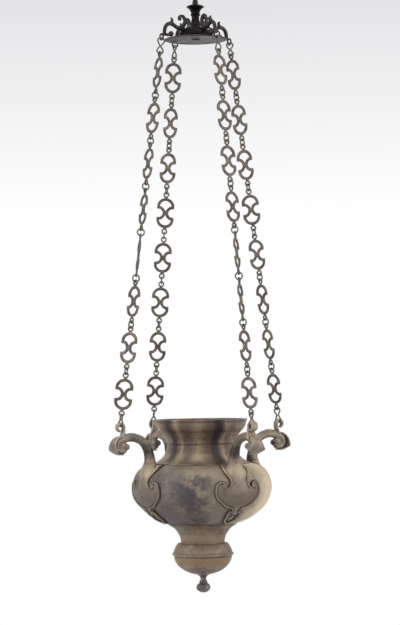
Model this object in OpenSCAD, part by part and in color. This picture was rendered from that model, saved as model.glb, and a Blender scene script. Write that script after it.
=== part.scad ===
// Hanging votive lamp of cast and turned bronze: a rod and canopy, four chains of flat pierced links,
// and a vase-shaped vessel with four scroll arms. Millimetres, +Z up. The origin is where a hook bears,
// inside the top of the suspension ring. The chains hang on -X (left), -Y (front), +X (right), +Y (back).

/* [Suspension] */
// Mean diameter of the suspension ring
ring_d = 44; // [38:1:60]
// Wire diameter of the suspension ring
ring_wire = 5; // [4:0.5:6]
// Diameter of the hanging rod
rod_d = 9; // [6:0.5:10]
// Hole radius of the eye on top of the rod
rod_eye_r = 4.6; // [4.2:0.1:6]
// Thickness of the bar round that eye
rod_eye_bar = 4; // [3:0.5:5]
// Bare length of rod between its eye and the crown
rod_bare = 9; // [4:1:60]

/* [Canopy] */
// Height of the crown above the dish
crown_h = 47; // [42:1:56]
// Radius of the flared disc on top of the crown
crown_top_r = 13.4; // [11:0.2:16]
// How much higher that disc is in its middle
crown_top_rise = 1.8; // [0.5:0.1:3]
// Radius of the neck under that disc
crown_neck_r = 5.9; // [5.4:0.1:7]
// Radius of the bead on the neck
crown_bead_r = 7.1; // [6.6:0.1:9]
// Radius of the dome at its foot
crown_dome_r = 27; // [24:0.5:32]
// Radius of the dish
dish_r = 47; // [44:0.5:50]
// Thickness of the dish in its middle
dish_t = 2; // [1.8:0.1:3]
// How far the dish falls from its middle to its edge
dish_fall = 1.4; // [1:0.1:2.2]
// Height of the rim round the dish
dish_rim_h = 2.2; // [2:0.1:3.4]
// Distance from the lamp's axis to each bracket's chain eye
bracket_reach = 60; // [58:0.5:64]
// Depth of the bracket bar, seen from its side
bracket_bar = 5; // [4:0.2:5.6]
// Thickness of the bracket casting
bracket_t = 5; // [4:0.2:6]
// Hole radius of the bracket's chain eye
bracket_eye_r = 3.4; // [3.2:0.1:4]
// Wire radius of that eye
bracket_eye_bar = 1.25; // [1.1:0.05:1.4]
// Diameter of the washer under the dish
canopy_washer_d = 14; // [12.5:0.5:18]

/* [Chain links] */
// Width of a link
link_w = 27; // [24:0.5:32]
// Height of a link without its eyes
link_h = 46.6; // [44:0.1:54]
// Thickness of a link
link_t = 3; // [2.4:0.1:4]
// Width of the bars of a link
link_bar = 4.2; // [3.2:0.1:4.6]
// Radius of the round notch in each side of a link
link_notch_r = 6.2; // [4:0.1:7]
// Width of a link across its waist
link_waist = 9; // [5:0.2:10]
// Hole radius of a link's eyes
link_eye_r = 2.5; // [2.3:0.1:3]
// Width of the bar round a link's eyes
link_eye_bar = 2.1; // [1.8:0.1:2.4]
// Thickness of a link's eyes
link_eye_t = 2.6; // [2:0.1:2.8]

/* [Chain rings and hooks] */
// Mean diameter of the rings between links
link_ring_d = 10.4; // [9.8:0.1:12]
// Wire diameter of those rings
link_ring_wire = 2; // [1.6:0.1:2.1]
// Mean height of a figure-eight hook
hook_h = 21; // [20:0.5:26]
// Wire diameter of the hooks
hook_wire = 2.2; // [1.8:0.1:2.3]
// Slack between a wire and the eye it bears in
play = 0.5; // [0.4:0.05:0.7]

/* [Arms] */
// Distance from the lamp's axis to each arm's chain eye
arm_reach = 140; // [134:0.5:146]
// Height of an arm's chain eye above the arm's top
arm_eye_rise = 7.5; // [7:0.5:9]
// Width of an arm along the belly
arm_w = 11.5; // [10:0.5:13]
// Depth of an arm, seen from its side
arm_t = 13; // [11:0.5:14]
// Width of the flared outer turn of an arm
arm_flare_w = 25; // [20:0.5:28]
// Hole radius of an arm's chain eye
arm_eye_r = 3.8; // [3.6:0.1:4.4]
// Width of the bar round that eye
arm_eye_bar = 3.2; // [2.6:0.1:3.6]
// Thickness of that eye
arm_eye_t = 4; // [3.4:0.1:4.2]
// Half width of the arm's plate at its ears
plate_half_w = 39; // [35:0.5:42]
// Thickness of the arm's plate
plate_t = 2.4; // [2:0.1:3]
// Height of the raised border above the plate
plate_border_t = 1.4; // [1:0.1:2]
// Width of that border
plate_border_w = 5; // [4:0.1:5.6]
// Shank diameter of the arm screws
screw_d = 5; // [4:0.5:6]

/* [Vessel] */
// Height of an arm's chain eye below the rim of the collar
eye_below_rim = 10; // [6:0.5:14]
// Radius of the collar's lip
lip_r = 69; // [66:0.5:72]
// Radius of the collar's waist
waist_r = 51; // [48:0.5:54]
// Radius of the collar's foot
foot_r = 72; // [70:0.5:75]
// Height of the collar
collar_h = 67; // [62:0.5:74]
// Wall thickness of the collar
collar_wall = 2.4; // [2:0.1:3]
// Radius of the seat for the glass inside the lip
seat_r = 65.5; // [64:0.1:66]
// Depth of that seat
seat_depth = 5; // [4:0.2:7]
// Radius of the belly's opening
belly_open_r = 66; // [62:0.5:67]
// Largest radius of the belly
belly_r = 103.5; // [98:0.5:108]
// Height of the belly above its widest line
belly_up = 35; // [32:0.5:38]
// Height of the belly below its widest line
belly_down = 54; // [50:0.5:58]
// Wall thickness of the belly
belly_wall = 3; // [2.4:0.1:4]
// Radius of the lower neck where it meets the belly
neck_top_r = 50; // [47:0.5:53]
// Radius of the lower neck at its waist
neck_waist_r = 32.5; // [30:0.5:35]
// Height of the lower neck
neck_h = 29; // [26:0.5:34]
// Radius of the bowl's top edge
bowl_top_r = 37.5; // [36:0.5:40]
// Radius of the bead round the bowl
bowl_bead_r = 46; // [44:0.5:49]
// Height of the bowl above its bead
bowl_up = 16.5; // [14:0.5:20]
// Height of the bowl below its bead
bowl_down = 31; // [28:0.5:36]
// Wall thickness of the lower neck and the bowl
lower_wall = 2.6; // [2.2:0.1:3.4]
// Radius of the finial's ball
finial_ball_r = 10.5; // [9:0.5:12]
// Height of the finial's stem
finial_stem_h = 11; // [9:0.5:14]
// Diameter of the tie rod
tie_rod_d = 8; // [6:0.5:9]
// Width across flats of the tie nut
tie_nut_af = 13; // [12:0.5:16]

/* [Hidden] */
$fn = 64;
sides = ["left", "front", "right", "back"];
turns = [180, 270, 0, 90];
link_n = 8;
// How far each link is turned about its chain from facing outward, in degrees, from the top link down.
link_turn = [
    [-6, 10, -2, -9, -25, 8, 30, 52],
    [16, 10, 6, 13, 43, 43, 22, 3],
    [12, 20, 26, 44, 24, 3, 1, 12],
    [-11, 9, -4, -30, -32, -27, -12, -27]
];
fit = 0.1;

brass = [0.50, 0.42, 0.33];
dark = [0.22, 0.19, 0.18];
grey_bronze = [0.42, 0.38, 0.34];
chain_bronze = [0.37, 0.34, 0.31];
olive = [0.47, 0.39, 0.27];
steel = [0.45, 0.44, 0.43];

// Heights from the origin down to the canopy.
swing_z = -(ring_d - ring_wire / 2);
rod_eye_z = swing_z + ring_wire / 2 + 0.3 - rod_eye_r;
crown_top_z = rod_eye_z - rod_eye_r - rod_eye_bar - rod_bare;
dish_z = crown_top_z - crown_h;
hang_z = dish_z - 2.2;
canopy_washer_t = 1.2;

// What is drawn on a bracket, on an arm and on the belly grows with these.
bracket_unit = bracket_reach / 60;
arm_unit = arm_reach / 140;
belly_unit = belly_r / 103.5;

// The balls and the lug of a bracket, and how far its ball stands in from the eye.
bracket_ball_r = 3.9 * bracket_unit;
bracket_curl_ball_r = 2.7 * bracket_unit;
bracket_lug_h = 3.4 * bracket_unit;
bracket_ball_in = 16.6 * bracket_unit;

// One chain, from the bracket's eye to the arm's eye.
eye_span = 2 * (link_h / 2 + link_eye_r + link_eye_bar + 0.35);
ring_seat = link_eye_r - link_ring_wire / 2 - play;
ring_gap = link_ring_d + 2 * ring_seat;
hook_seat_top = bracket_eye_r - hook_wire / 2 - play - 0.3;
hook_seat_link = link_eye_r - hook_wire / 2 - play;
hook_seat_arm = arm_eye_r - hook_wire / 2 - play - 0.3;
top_hook_len = hook_seat_top + hook_h + hook_seat_link;
arm_hook_len = hook_seat_link + hook_h + hook_seat_arm;
chain_len = top_hook_len + link_n * eye_span + (link_n - 1) * ring_gap + arm_hook_len;
chain_run = arm_reach - bracket_reach;
chain_drop = sqrt(chain_len * chain_len - chain_run * chain_run);
chain_tilt = asin(chain_run / chain_len);
function link_at(k) = top_hook_len + eye_span / 2 + k * (eye_span + ring_gap);

// Radius of the collar's open foot, whose inner edge hangs over the belly's opening.
collar_open_r = belly_open_r - 6;

// Heights down the vessel.
arm_eye_z = hang_z - chain_drop;
rim_z = arm_eye_z + eye_below_rim;
belly_top_z = rim_z - collar_h;
belly_mid_z = belly_top_z - belly_up;
belly_bottom_z = belly_mid_z - belly_down;
neck_bottom_z = belly_bottom_z - neck_h;
bead_z = neck_bottom_z - bowl_up;
bowl_bottom_z = bead_z - bowl_down;
finial_top_z = bowl_bottom_z;
// How far the arm screws reach into the plates, and how many degrees each stands from the arm's middle.
screw_bite = plate_t - 0.8;
screw_turn = 5;
screw_head_h = 2.5;
nut_h = 6;

// Points of a cubic curve from a to d, with b and c as its handles.
function bend(a, b, c, d, n) = [
    for (i = [0:n])
        let (t = i / n, u = 1 - t)
        u * u * u * a + 3 * u * u * t * b + 3 * u * t * t * c + t * t * t * d
];

// A quarter of a rounded profile from its equator to its pole: radius r0 at the pole, r1 at the equator,
// height h (negative runs down), and power p (2 is an ellipse, lower is flatter).
function swell(r0, r1, z, h, p, n) = [
    for (i = [0:n])
        let (f = sin(90 * i / n))
        [r0 + (r1 - r0) * pow(1 - pow(f, p), 1 / p), z + h * f]
];

function reversed(list) = [for (i = [len(list) - 1:-1:0]) list[i]];

// A smooth curve through the given points, with n steps between each pair.
function through(p, n) = concat(
    [
        for (i = [0:len(p) - 2])
            let (
                a = p[max(i - 1, 0)],
                b = p[i],
                c = p[i + 1],
                d = p[min(i + 2, len(p) - 1)]
            )
            for (j = [0:n - 1])
                let (t = j / n)
                0.5 * ((2 * b) + (c - a) * t + (2 * a - 5 * b + 4 * c - d) * t * t
                    + (3 * b - a - 3 * c + d) * t * t * t)
    ],
    [p[len(p) - 1]]
);

module torus(mean_r, bar_r) {
    rotate_extrude() translate([mean_r, 0]) circle(bar_r, $fn = 32);
}

// A flat strap that follows a smooth line: each station gives x, y and the strap's half width there.
module ribbon(stations, n) {
    line = through(stations, n);
    last = len(line) - 1;
    edges = [
        for (i = [0:last])
            let (
                a = line[max(i - 1, 0)],
                b = line[min(i + 1, last)],
                d = [b[0] - a[0], b[1] - a[1]] / norm([b[0] - a[0], b[1] - a[1]]),
                out = [-d[1], d[0]] * line[i][2],
                at = [line[i][0], line[i][1]]
            )
            [at + out, at - out]
    ];
    polygon(concat([for (e = edges) e[0]], reversed([for (e = edges) e[1]])));
}

// Places its children on one chain: local z runs down the chain, local x points inward.
module on_chain(i) {
    rotate([0, 0, turns[i]])
        translate([bracket_reach, 0, hang_z])
            rotate([0, 180 - chain_tilt, 0])
                children();
}

// Draws a flat outline in the radial plane of side i, x outward and y up, with thickness t.
module in_radial_plane(i, t) {
    rotate([0, 0, turns[i]])
        rotate([90, 0, 0])
            linear_extrude(t, center = true)
                children();
}

module suspension_ring() {
    color(dark)
        translate([0, 0, -(ring_d - ring_wire) / 2])
            rotate([90, 0, 0])
                torus(ring_d / 2, ring_wire / 2);
}

module hanging_rod() {
    top = rod_eye_z - rod_eye_r - rod_eye_bar / 2;
    taper = 4;
    bottom = dish_z - dish_t - canopy_washer_t;
    color(dark) {
        translate([0, 0, rod_eye_z])
            rotate([0, 90, 0])
                torus(rod_eye_r + rod_eye_bar / 2, rod_eye_bar / 2);
        translate([0, 0, top - taper])
            cylinder(h = taper, d1 = rod_d, d2 = rod_eye_bar + 1);
        translate([0, 0, bottom])
            cylinder(h = top - taper - bottom, d = rod_d);
        // Peened end that holds the canopy together.
        translate([0, 0, bottom - 1])
            cylinder(h = 1, d1 = rod_d, d2 = rod_d + 2);
    }
}

// Half outline of the crown, from its top disc down to the dish.
function crown_outline() =
    let (z = crown_top_z, h = crown_h)
    concat(
        [[crown_top_r - 1.2, z], [crown_top_r, z - 0.8]],
        bend([crown_top_r - 0.6, z - 1.8], [crown_neck_r + 3, z - 3], [crown_neck_r + 0.6, z - 5],
            [crown_neck_r, z - 0.2 * h], 6),
        bend([crown_neck_r, z - 0.21 * h], [crown_bead_r + 0.5, z - 0.22 * h],
            [crown_bead_r + 0.5, z - 0.27 * h], [crown_neck_r, z - 0.28 * h], 6),
        bend([crown_neck_r - 0.4, z - 0.3 * h], [crown_neck_r - 0.4, z - 0.5 * h],
            [0.45 * crown_dome_r, z - 0.62 * h], [0.72 * crown_dome_r, z - 0.72 * h], 8),
        bend([0.78 * crown_dome_r, z - 0.73 * h], [0.95 * crown_dome_r, z - 0.78 * h],
            [crown_dome_r, z - 0.88 * h], [crown_dome_r, z - h], 6)
    );

module canopy_crown() {
    color(dark)
        difference() {
            rotate_extrude()
                polygon(concat(
                    bend([0, crown_top_z + crown_top_rise],
                        [0.4 * crown_top_r, crown_top_z + crown_top_rise],
                        [0.7 * crown_top_r, crown_top_z + 0.4 * crown_top_rise],
                        [crown_top_r - 1.8, crown_top_z + 0.1], 5),
                    crown_outline(),
                    [[0, dish_z]]
                ));
            translate([0, 0, dish_z - 1])
                cylinder(h = crown_h + crown_top_rise + 2, d = rod_d + 2 * fit);
        }
}

// An upturned saucer: flat under the crown, falling to a rim with a hollow behind it.
module canopy_dish() {
    flat_r = crown_dome_r + 2;
    edge_z = dish_z - dish_fall;
    color(grey_bronze)
        difference() {
            rotate_extrude()
                polygon(concat(
                    [[0, dish_z]],
                    bend([flat_r, dish_z], [flat_r + 8, dish_z],
                        [dish_r - 6, edge_z + 0.6], [dish_r - 0.6, edge_z], 6),
                    [[dish_r, edge_z - 0.6], [dish_r, edge_z - dish_rim_h]],
                    [[dish_r - 2, edge_z - dish_rim_h]],
                    bend([dish_r - 2.6, edge_z - dish_t + 0.2], [dish_r - 8, edge_z - dish_t + 0.8],
                        [flat_r + 6, dish_z - dish_t], [flat_r - 2, dish_z - dish_t], 5),
                    [[0, dish_z - dish_t]]
                ));
            translate([0, 0, dish_z - dish_t - 1])
                cylinder(h = dish_t + 2, d = rod_d + 2 * fit);
        }
}

module canopy_washer() {
    color(dark)
        translate([0, 0, dish_z - dish_t - canopy_washer_t])
            difference() {
                cylinder(h = canopy_washer_t, d1 = canopy_washer_d - 1, d2 = canopy_washer_d);
                translate([0, 0, -1])
                    cylinder(h = canopy_washer_t + 2, d = rod_d + 2 * fit);
            }
}

// Centre line of a bracket, from the eye over the arch, down into the scoop and up to the curl: how far in
// from the eye, height above the dish and thickness.
bracket_line = [
    [2.7, 0.4, 1.04], [2.8, 5, 0.96], [3.6, 11, 0.92], [7, 17, 0.96], [13, 20.3, 1.04],
    [19, 19.4, 1.04], [24.2, 15.6, 1], [29.6, 13, 1.08], [35, 14, 1.16], [39.6, 17.6, 1.08],
    [42, 22.6, 0.96], [41.4, 28, 0.88], [37.7, 31.8, 0.8], [33, 31.5, 0.72], [30.8, 28.6, 0.64]
];
bracket_leaf = [
    [15.5, 20, 0.8], [18.8, 22.4, 0.8], [20.4, 25.6, 0.68], [19.6, 28.6, 0.48], [17.8, 29.8, 0.24]
];

// Side view of one bracket: x is the distance from the lamp's axis, y the height above the dish.
module bracket_outline() {
    r = bracket_reach;
    u = bracket_unit;
    for (line = [bracket_line, bracket_leaf])
        ribbon([for (p = line) [r - p[0] * u, p[1] * u, p[2] * bracket_bar / 2]], 3);
    translate([r - 31.8 * u, 26.6 * u]) circle(bracket_curl_ball_r, $fn = 32);
    // Foot that runs into the crown.
    polygon([
        [0.6 * crown_dome_r, 8 * u], [r - 34 * u, 11 * u], [r - 33 * u, 15 * u], [0.6 * crown_dome_r, 19 * u]
    ]);
    // Lug that lies on the dish and runs out to the eye.
    translate([r - bracket_ball_in - 0.4, 0]) square([bracket_ball_in - 0.1, bracket_lug_h]);
}

module bracket(i) {
    eye_mean = bracket_eye_r + bracket_eye_bar;
    difference() {
        union() {
            translate([0, 0, dish_z])
                in_radial_plane(i, bracket_t) bracket_outline();
            rotate([0, 0, turns[i]]) {
                translate([bracket_reach, 0, hang_z])
                    rotate([0, 90, 0])
                        torus(eye_mean, bracket_eye_bar);
                translate([bracket_reach - bracket_ball_in, 0, dish_z + bracket_ball_r - 0.3])
                    sphere(bracket_ball_r);
            }
        }
        rotate_extrude()
            polygon(concat(
                [[0, crown_top_z]],
                [for (p = crown_outline()) p + [0.05, 0]],
                [[0, dish_z]]
            ));
        translate([0, 0, dish_z - 8]) cylinder(h = 8, r = dish_r + 1);
    }
}

module canopy_brackets() {
    color(dark)
        for (i = [0:3]) bracket(i);
}

// Flat outline of a link without its eyes: two arches that meet at a waist between round notches.
module link_outline() {
    r = link_w / 2;
    arch_y = link_h / 2 - r;
    notch_x = link_waist / 2 + link_notch_r;
    hug_r = max(link_notch_r + link_bar, notch_x + 0.5);
    difference() {
        union() {
            for (s = [-1, 1])
                translate([0, s * arch_y]) circle(r);
            square([link_w, 2 * arch_y], center = true);
        }
        for (s = [-1, 1]) {
            translate([s * notch_x, 0]) circle(link_notch_r);
            translate([s * (notch_x + r), 0]) square([2 * r, 2 * link_notch_r], center = true);
        }
        // Leaf-shaped openings that run to a point above and below the waist.
        for (m = [0, 1])
            mirror([0, m])
                difference() {
                    union() {
                        translate([0, arch_y]) circle(r - link_bar);
                        translate([link_bar - r, 1]) square([2 * (r - link_bar), arch_y - 1]);
                    }
                    for (s = [-1, 1])
                        translate([s * notch_x, 0]) circle(hug_r);
                }
    }
}

module link_shape() {
    difference() {
        union() {
            linear_extrude(link_t, center = true)
                link_outline();
            for (s = [-1, 1])
                translate([0, s * eye_span / 2, 0]) {
                    cylinder(h = link_eye_t, r = link_eye_r + link_eye_bar, center = true, $fn = 32);
                    translate([0, -s * (link_eye_r + link_eye_bar), 0])
                        cube([link_eye_bar * 2, 3, link_eye_t], center = true);
                }
        }
        for (s = [-1, 1])
            translate([0, s * eye_span / 2, 0])
                cylinder(h = link_t + 2, r = link_eye_r, center = true, $fn = 32);
    }
}

module chain_link(i, k) {
    color(chain_bronze)
        on_chain(i)
            translate([0, 0, link_at(k)])
                rotate([0, 0, -link_turn[i][k]])
                    rotate([90, 0, 90])
                        link_shape();
}

module chain_rings(i) {
    color(chain_bronze)
        on_chain(i)
            for (k = [0:link_n - 2])
                translate([0, 0, link_at(k) + (eye_span + ring_gap) / 2])
                    rotate([0, 0, -(link_turn[i][k] + link_turn[i][k + 1]) / 2])
                        rotate([90, 0, 0])
                            torus(link_ring_d / 2, link_ring_wire / 2);
}

// Two wire loops bound end to end, hook_h high between their outer wires.
// The first is turned by a, the second by b.
module figure_eight(top, a, b) {
    step = hook_wire + 0.2;
    loop_r = (hook_h - step) / 4;
    translate([0, 0, top + loop_r])
        rotate([0, 0, -a]) rotate([90, 0, 0]) torus(loop_r, hook_wire / 2);
    translate([0, 0, top + 3 * loop_r + step])
        rotate([0, 0, -b]) rotate([90, 0, 0]) torus(loop_r, hook_wire / 2);
    translate([0, 0, top + 2 * loop_r])
        cylinder(h = step, d = 1.5 * hook_wire, $fn = 32);
}

module chain_hooks(i) {
    color(chain_bronze)
        on_chain(i) {
            figure_eight(hook_seat_top, 0, link_turn[i][0] / 2);
            figure_eight(chain_len - arm_hook_len + hook_seat_link, link_turn[i][link_n - 1], 90);
        }
}

// Outer half profile of the collar, from the lip down to the foot.
function collar_outline(inset) =
    let (z = rim_z, h = collar_h)
    concat(
        [[lip_r - inset, z], [lip_r - inset, z - 3]],
        bend([lip_r - 1 - inset, z - 4], [lip_r - 1.6 - inset, z - 0.27 * h],
            [waist_r - inset, z - 0.3 * h], [waist_r - inset, z - 0.54 * h], 10),
        bend([waist_r - inset, z - 0.55 * h], [waist_r - inset, z - 0.74 * h],
            [0.26 * waist_r + 0.74 * foot_r - 10 - inset, z - 0.9 * h],
            [foot_r - 0.8 - inset, z - 0.965 * h], 10)
    );

module collar() {
    color(brass)
        difference() {
            rotate_extrude()
                polygon(concat(
                    [[0, rim_z]],
                    collar_outline(0),
                    [[foot_r, belly_top_z + 1.2], [foot_r, belly_top_z], [0, belly_top_z]]
                ));
            rotate_extrude()
                polygon(concat(
                    [[0, rim_z + 1], [seat_r, rim_z + 1], [seat_r, rim_z - seat_depth]],
                    [
                        for (p = collar_outline(collar_wall))
                            if (p[1] < rim_z - seat_depth - 0.5 && p[0] < collar_open_r) p
                    ],
                    [[collar_open_r, belly_top_z + 1.5], [collar_open_r, belly_top_z - 1]],
                    [[0, belly_top_z - 1]]
                ));
            // Turned line round the waist.
            translate([0, 0, rim_z - 0.36 * collar_h])
                rotate_extrude() translate([waist_r + 0.3, 0]) circle(0.9, $fn = 16);
        }
}

// Half profile of the belly, from its opening round to the flat underneath.
function belly_outline(grow) = concat(
    reversed(swell(lip_r + grow / 2, belly_r + grow, belly_mid_z, belly_up + grow / 2, 2.3, 9)),
    [
        for (i = [1:11])
            swell(0.45 * belly_r + grow, belly_r + grow, belly_mid_z, -belly_down - grow / 2, 1.85, 11)[i]
    ]
);

module belly_envelope(grow) {
    rotate_extrude()
        polygon(concat(
            [[0, belly_top_z + grow / 2]],
            belly_outline(grow),
            [[0, belly_bottom_z - grow / 2]]
        ));
}

module belly() {
    seat_bore = tie_rod_d / 2 + fit;
    color(grey_bronze)
        difference() {
            belly_envelope(0);
            intersection() {
                belly_envelope(-belly_wall);
                translate([0, 0, belly_bottom_z + belly_wall])
                    cylinder(h = belly_up + belly_down - 2 * belly_wall, r = belly_r);
            }
            translate([0, 0, belly_top_z - 2 * belly_wall])
                cylinder(h = 3 * belly_wall, r = belly_open_r);
            translate([0, 0, belly_bottom_z - 1])
                cylinder(h = belly_wall + 2, r = seat_bore);
            arm_screw_places() cylinder(h = 20, d = screw_d + 2 * fit, center = true);
        }
}

// Places its children at each arm screw's head, with z pointing outward.
module arm_screw_places() {
    for (i = [0:3])
        for (s = [-1, 1])
            rotate([0, 0, turns[i] + s * screw_turn])
                translate([belly_r - belly_wall, 0, belly_mid_z])
                    rotate([0, 90, 0])
                        children();
}

module arm_screws() {
    color(steel)
        arm_screw_places() {
            translate([0, 0, -0.5 - screw_head_h])
                cylinder(h = screw_head_h, d = 1.8 * screw_d);
            translate([0, 0, -1]) cylinder(h = 1 + belly_wall + screw_bite - 0.2, d = screw_d);
        }
}

// Edges of one half of an arm's plate: x along the belly in half widths, y up from its widest line.
plate_shoulder = [
    [0.44, 33.5], [0.53, 28], [0.49, 22], [0.4, 16.5], [0.36, 11], [0.39, 5.4], [0.5, 1.2]
];
plate_ear = [
    [0.6, 7.4], [0.74, 10], [0.9, 7.4], [0.97, 0], [0.96, -7], [0.88, -13],
    [0.75, -18.3], [0.61, -22.5], [0.48, -25.5], [0.33, -26.7]
];
plate_drop = [[0.28, -31], [0.3, -36], [0.25, -40.5], [0.26, -44], [0.17, -47.4], [0.07, -49.8]];

function on_belly(edge) = [for (p = edge) [p[0] * plate_half_w, p[1] * belly_unit]];
function mirrored(list) = [for (p = reversed(list)) [-p[0], p[1]]];

// Flat outline of an arm's plate.
module plate_outline() {
    half = [for (edge = [plate_shoulder, plate_ear, plate_drop]) each through(on_belly(edge), 2)];
    polygon(concat(half, [[0, -50.6 * belly_unit]], mirrored(half)));
}

// Scrolls along the plate's edges and the curls that they end in.
module plate_border() {
    for (s = [0, 1])
        mirror([s, 0]) {
            for (edge = [plate_shoulder, plate_ear, plate_drop])
                ribbon([
                    for (p = on_belly(edge)) [p[0] - 0.3 * plate_border_w, p[1], plate_border_w / 2]
                ], 2);
            translate([0.66 * plate_half_w, 5 * belly_unit]) circle(0.72 * plate_border_w, $fn = 24);
            translate([0.17 * plate_half_w, -31.5 * belly_unit]) circle(0.68 * plate_border_w, $fn = 24);
        }
}

module plate_layer(grow) {
    intersection() {
        belly_envelope(grow);
        translate([0, 0, belly_mid_z])
            rotate([90, 0, 90])
                linear_extrude(belly_r + 20)
                    children();
    }
}

module arm_plate() {
    difference() {
        union() {
            plate_layer(plate_t) plate_outline();
            plate_layer(plate_t + plate_border_t) plate_border();
        }
        belly_envelope(0.1);
    }
}

// Centre line of an arm in its radial plane, with half depth and half width in terms of the arm's own.
// Up from the belly's widest line, given as distance in from the belly and height above that line.
arm_root = [
    [8, -17, 0.6, 1.1], [6.7, -3, 1.26, 2.4], [6.9, 11, 1.48, 2.9], [9.3, 23, 1.54, 2.55],
    [11.9, 32.5, 1.46, 1.95], [13.3, 41, 1.34, 1.5]
];
// Over the arch, given as distance in from the chain eye and depth below the arm's top.
arm_arch = [
    [48.4, 27, 1.23, 1.22], [44.8, 17, 1.17, 1.1], [38.2, 8.2, 1.1, 1.04],
    [28, 2.8, 1.05, 1.04], [15.5, 0.6, 1.06, 1.12]
];
// Round the curl, given as angle and radius about its middle, with half width in terms of the flare's.
arm_curl = [
    [82, 8.2, 1.04, 0.62], [48, 7.7, 1.08, 0.77], [12, 7.6, 1.08, 0.92], [-28, 7.6, 1.08, 1],
    [-66, 7.8, 1.06, 1], [-104, 8, 1.02, 0.94], [-138, 8.1, 0.9, 0.75], [-164, 8.1, 0.72, 0.5],
    [-184, 7.8, 0.5, 0.3]
];
arm_curl_drop = 12.8;

function arm_stations() =
    let (
        v = belly_unit, u = arm_unit, t = arm_t / 2, w = arm_w / 2, f = arm_flare_w / 2,
        top = arm_eye_z - arm_eye_rise - t, mid = top - arm_curl_drop * u
    )
    concat(
        [for (p = arm_root) [belly_r - p[0] * v, belly_mid_z + p[1] * v, p[2] * t, p[3] * w]],
        [for (p = arm_arch) [arm_reach - p[0] * u, top - p[1] * u, p[2] * t, p[3] * w]],
        [
            for (p = arm_curl)
                [arm_reach + p[1] * u * cos(p[0]), mid + p[1] * u * sin(p[0]), p[2] * t, p[3] * f]
        ]
    );

// Cross-section of an arm: a ridge on its outer face and soft edges, in half widths and half depths.
arm_section = [
    [-1, 0.1], [-0.6, 0.72], [0, 1], [0.6, 0.72],
    [1, 0.1], [0.72, -0.7], [0, -0.9], [-0.72, -0.7]
];

module arm_scroll() {
    s = through(arm_stations(), 3);
    n = len(s);
    m = len(arm_section);
    points = [
        for (i = [0:n - 1])
            let (
                a = s[max(i - 1, 0)],
                b = s[min(i + 1, n - 1)],
                d = [b[0] - a[0], b[1] - a[1]] / norm([b[0] - a[0], b[1] - a[1]])
            )
            for (q = arm_section)
                [
                    s[i][0] - d[1] * q[1] * s[i][2],
                    q[0] * s[i][3],
                    s[i][1] + d[0] * q[1] * s[i][2]
                ]
    ];
    faces = concat(
        [
            for (i = [0:n - 2])
                for (j = [0:m - 1])
                    let (k = (j + 1) % m)
                    each [
                        [i * m + j, i * m + k, (i + 1) * m + k],
                        [i * m + j, (i + 1) * m + k, (i + 1) * m + j]
                    ]
        ],
        [[for (j = [m - 1:-1:0]) j]],
        [[for (j = [0:m - 1]) (n - 1) * m + j]]
    );
    polyhedron(points, faces);
}

// Curled strap on top of an arm: a round eye, open low on its outer side, and the stem that carries it.
module arm_strap() {
    mean = arm_eye_r + arm_eye_bar / 2;
    translate([arm_reach, 0, arm_eye_z])
        rotate([90, 0, 0]) {
            difference() {
                cylinder(h = arm_eye_t, r = arm_eye_r + arm_eye_bar, center = true);
                // Gap under the eye, between its lower inner side and its free end.
                rotate([0, 0, -62])
                    translate([0, -2 * mean, -arm_eye_t])
                        cube([2 * mean, 2 * mean, 2 * arm_eye_t]);
            }
            linear_extrude(arm_eye_t, center = true)
                ribbon([
                    for (p = [[1, 1, 0.47], [0.2, -3, 0.5], [1.6, -8, 0.56], [3.4, -14, 0.69]])
                        [p[0] * arm_unit - mean, p[1] * arm_unit, p[2] * arm_eye_bar]
                ], 3);
        }
}

module arm(i) {
    color(brass)
        rotate([0, 0, turns[i]])
            difference() {
                union() {
                    arm_plate();
                    difference() {
                        arm_scroll();
                        belly_envelope(0.1);
                    }
                    arm_strap();
                }
                translate([arm_reach, 0, arm_eye_z])
                    rotate([90, 0, 0])
                        cylinder(h = arm_flare_w, r = arm_eye_r, center = true);
                for (s = [-1, 1])
                    rotate([0, 0, s * screw_turn])
                        translate([belly_r - 1, 0, belly_mid_z])
                            rotate([0, 90, 0])
                                cylinder(h = 1 + screw_bite, d = screw_d + 2 * fit);
            }
}

module lower_neck() {
    z = belly_bottom_z;
    outline = bend([neck_top_r, z - 1.4], [0.64 * neck_top_r + 0.24 * neck_waist_r, z - 0.27 * neck_h],
        [neck_waist_r, z - 0.5 * neck_h], [neck_waist_r, z - neck_h + 1], 10);
    color(brass)
        difference() {
            rotate_extrude()
                polygon(concat(
                    [[0, z], [neck_top_r + 1.6, z], [neck_top_r + 1.6, z - 1]],
                    outline,
                    [[neck_waist_r + 1, z - neck_h + 0.6], [neck_waist_r + 1, z - neck_h]],
                    [[0, z - neck_h]]
                ));
            rotate_extrude()
                polygon(concat(
                    [[0, z - lower_wall], [neck_top_r - 2 * lower_wall, z - lower_wall]],
                    [for (p = outline) if (p[1] < z - lower_wall - 1) p - [lower_wall, 0]],
                    [[neck_waist_r - lower_wall, z - neck_h - 1], [0, z - neck_h - 1]]
                ));
            translate([0, 0, z - lower_wall - 1])
                cylinder(h = lower_wall + 2, d = tie_rod_d + 2 * fit);
        }
}

function bowl_outline(inset) = concat(
    bend([bowl_top_r - inset, neck_bottom_z], [bowl_top_r + 2.5 - inset, neck_bottom_z - 0.18 * bowl_up],
        [bowl_bead_r - 2.5 - inset, bead_z + 0.45 * bowl_up], [bowl_bead_r - 1.4 - inset, bead_z + 2], 6),
    [
        for (p = swell(9, bowl_bead_r - 3, bead_z - 2.4, -bowl_down + 2.4 + inset, 1.8, 10))
            [max(p[0] - inset, 0), p[1]]
    ]
);

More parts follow.
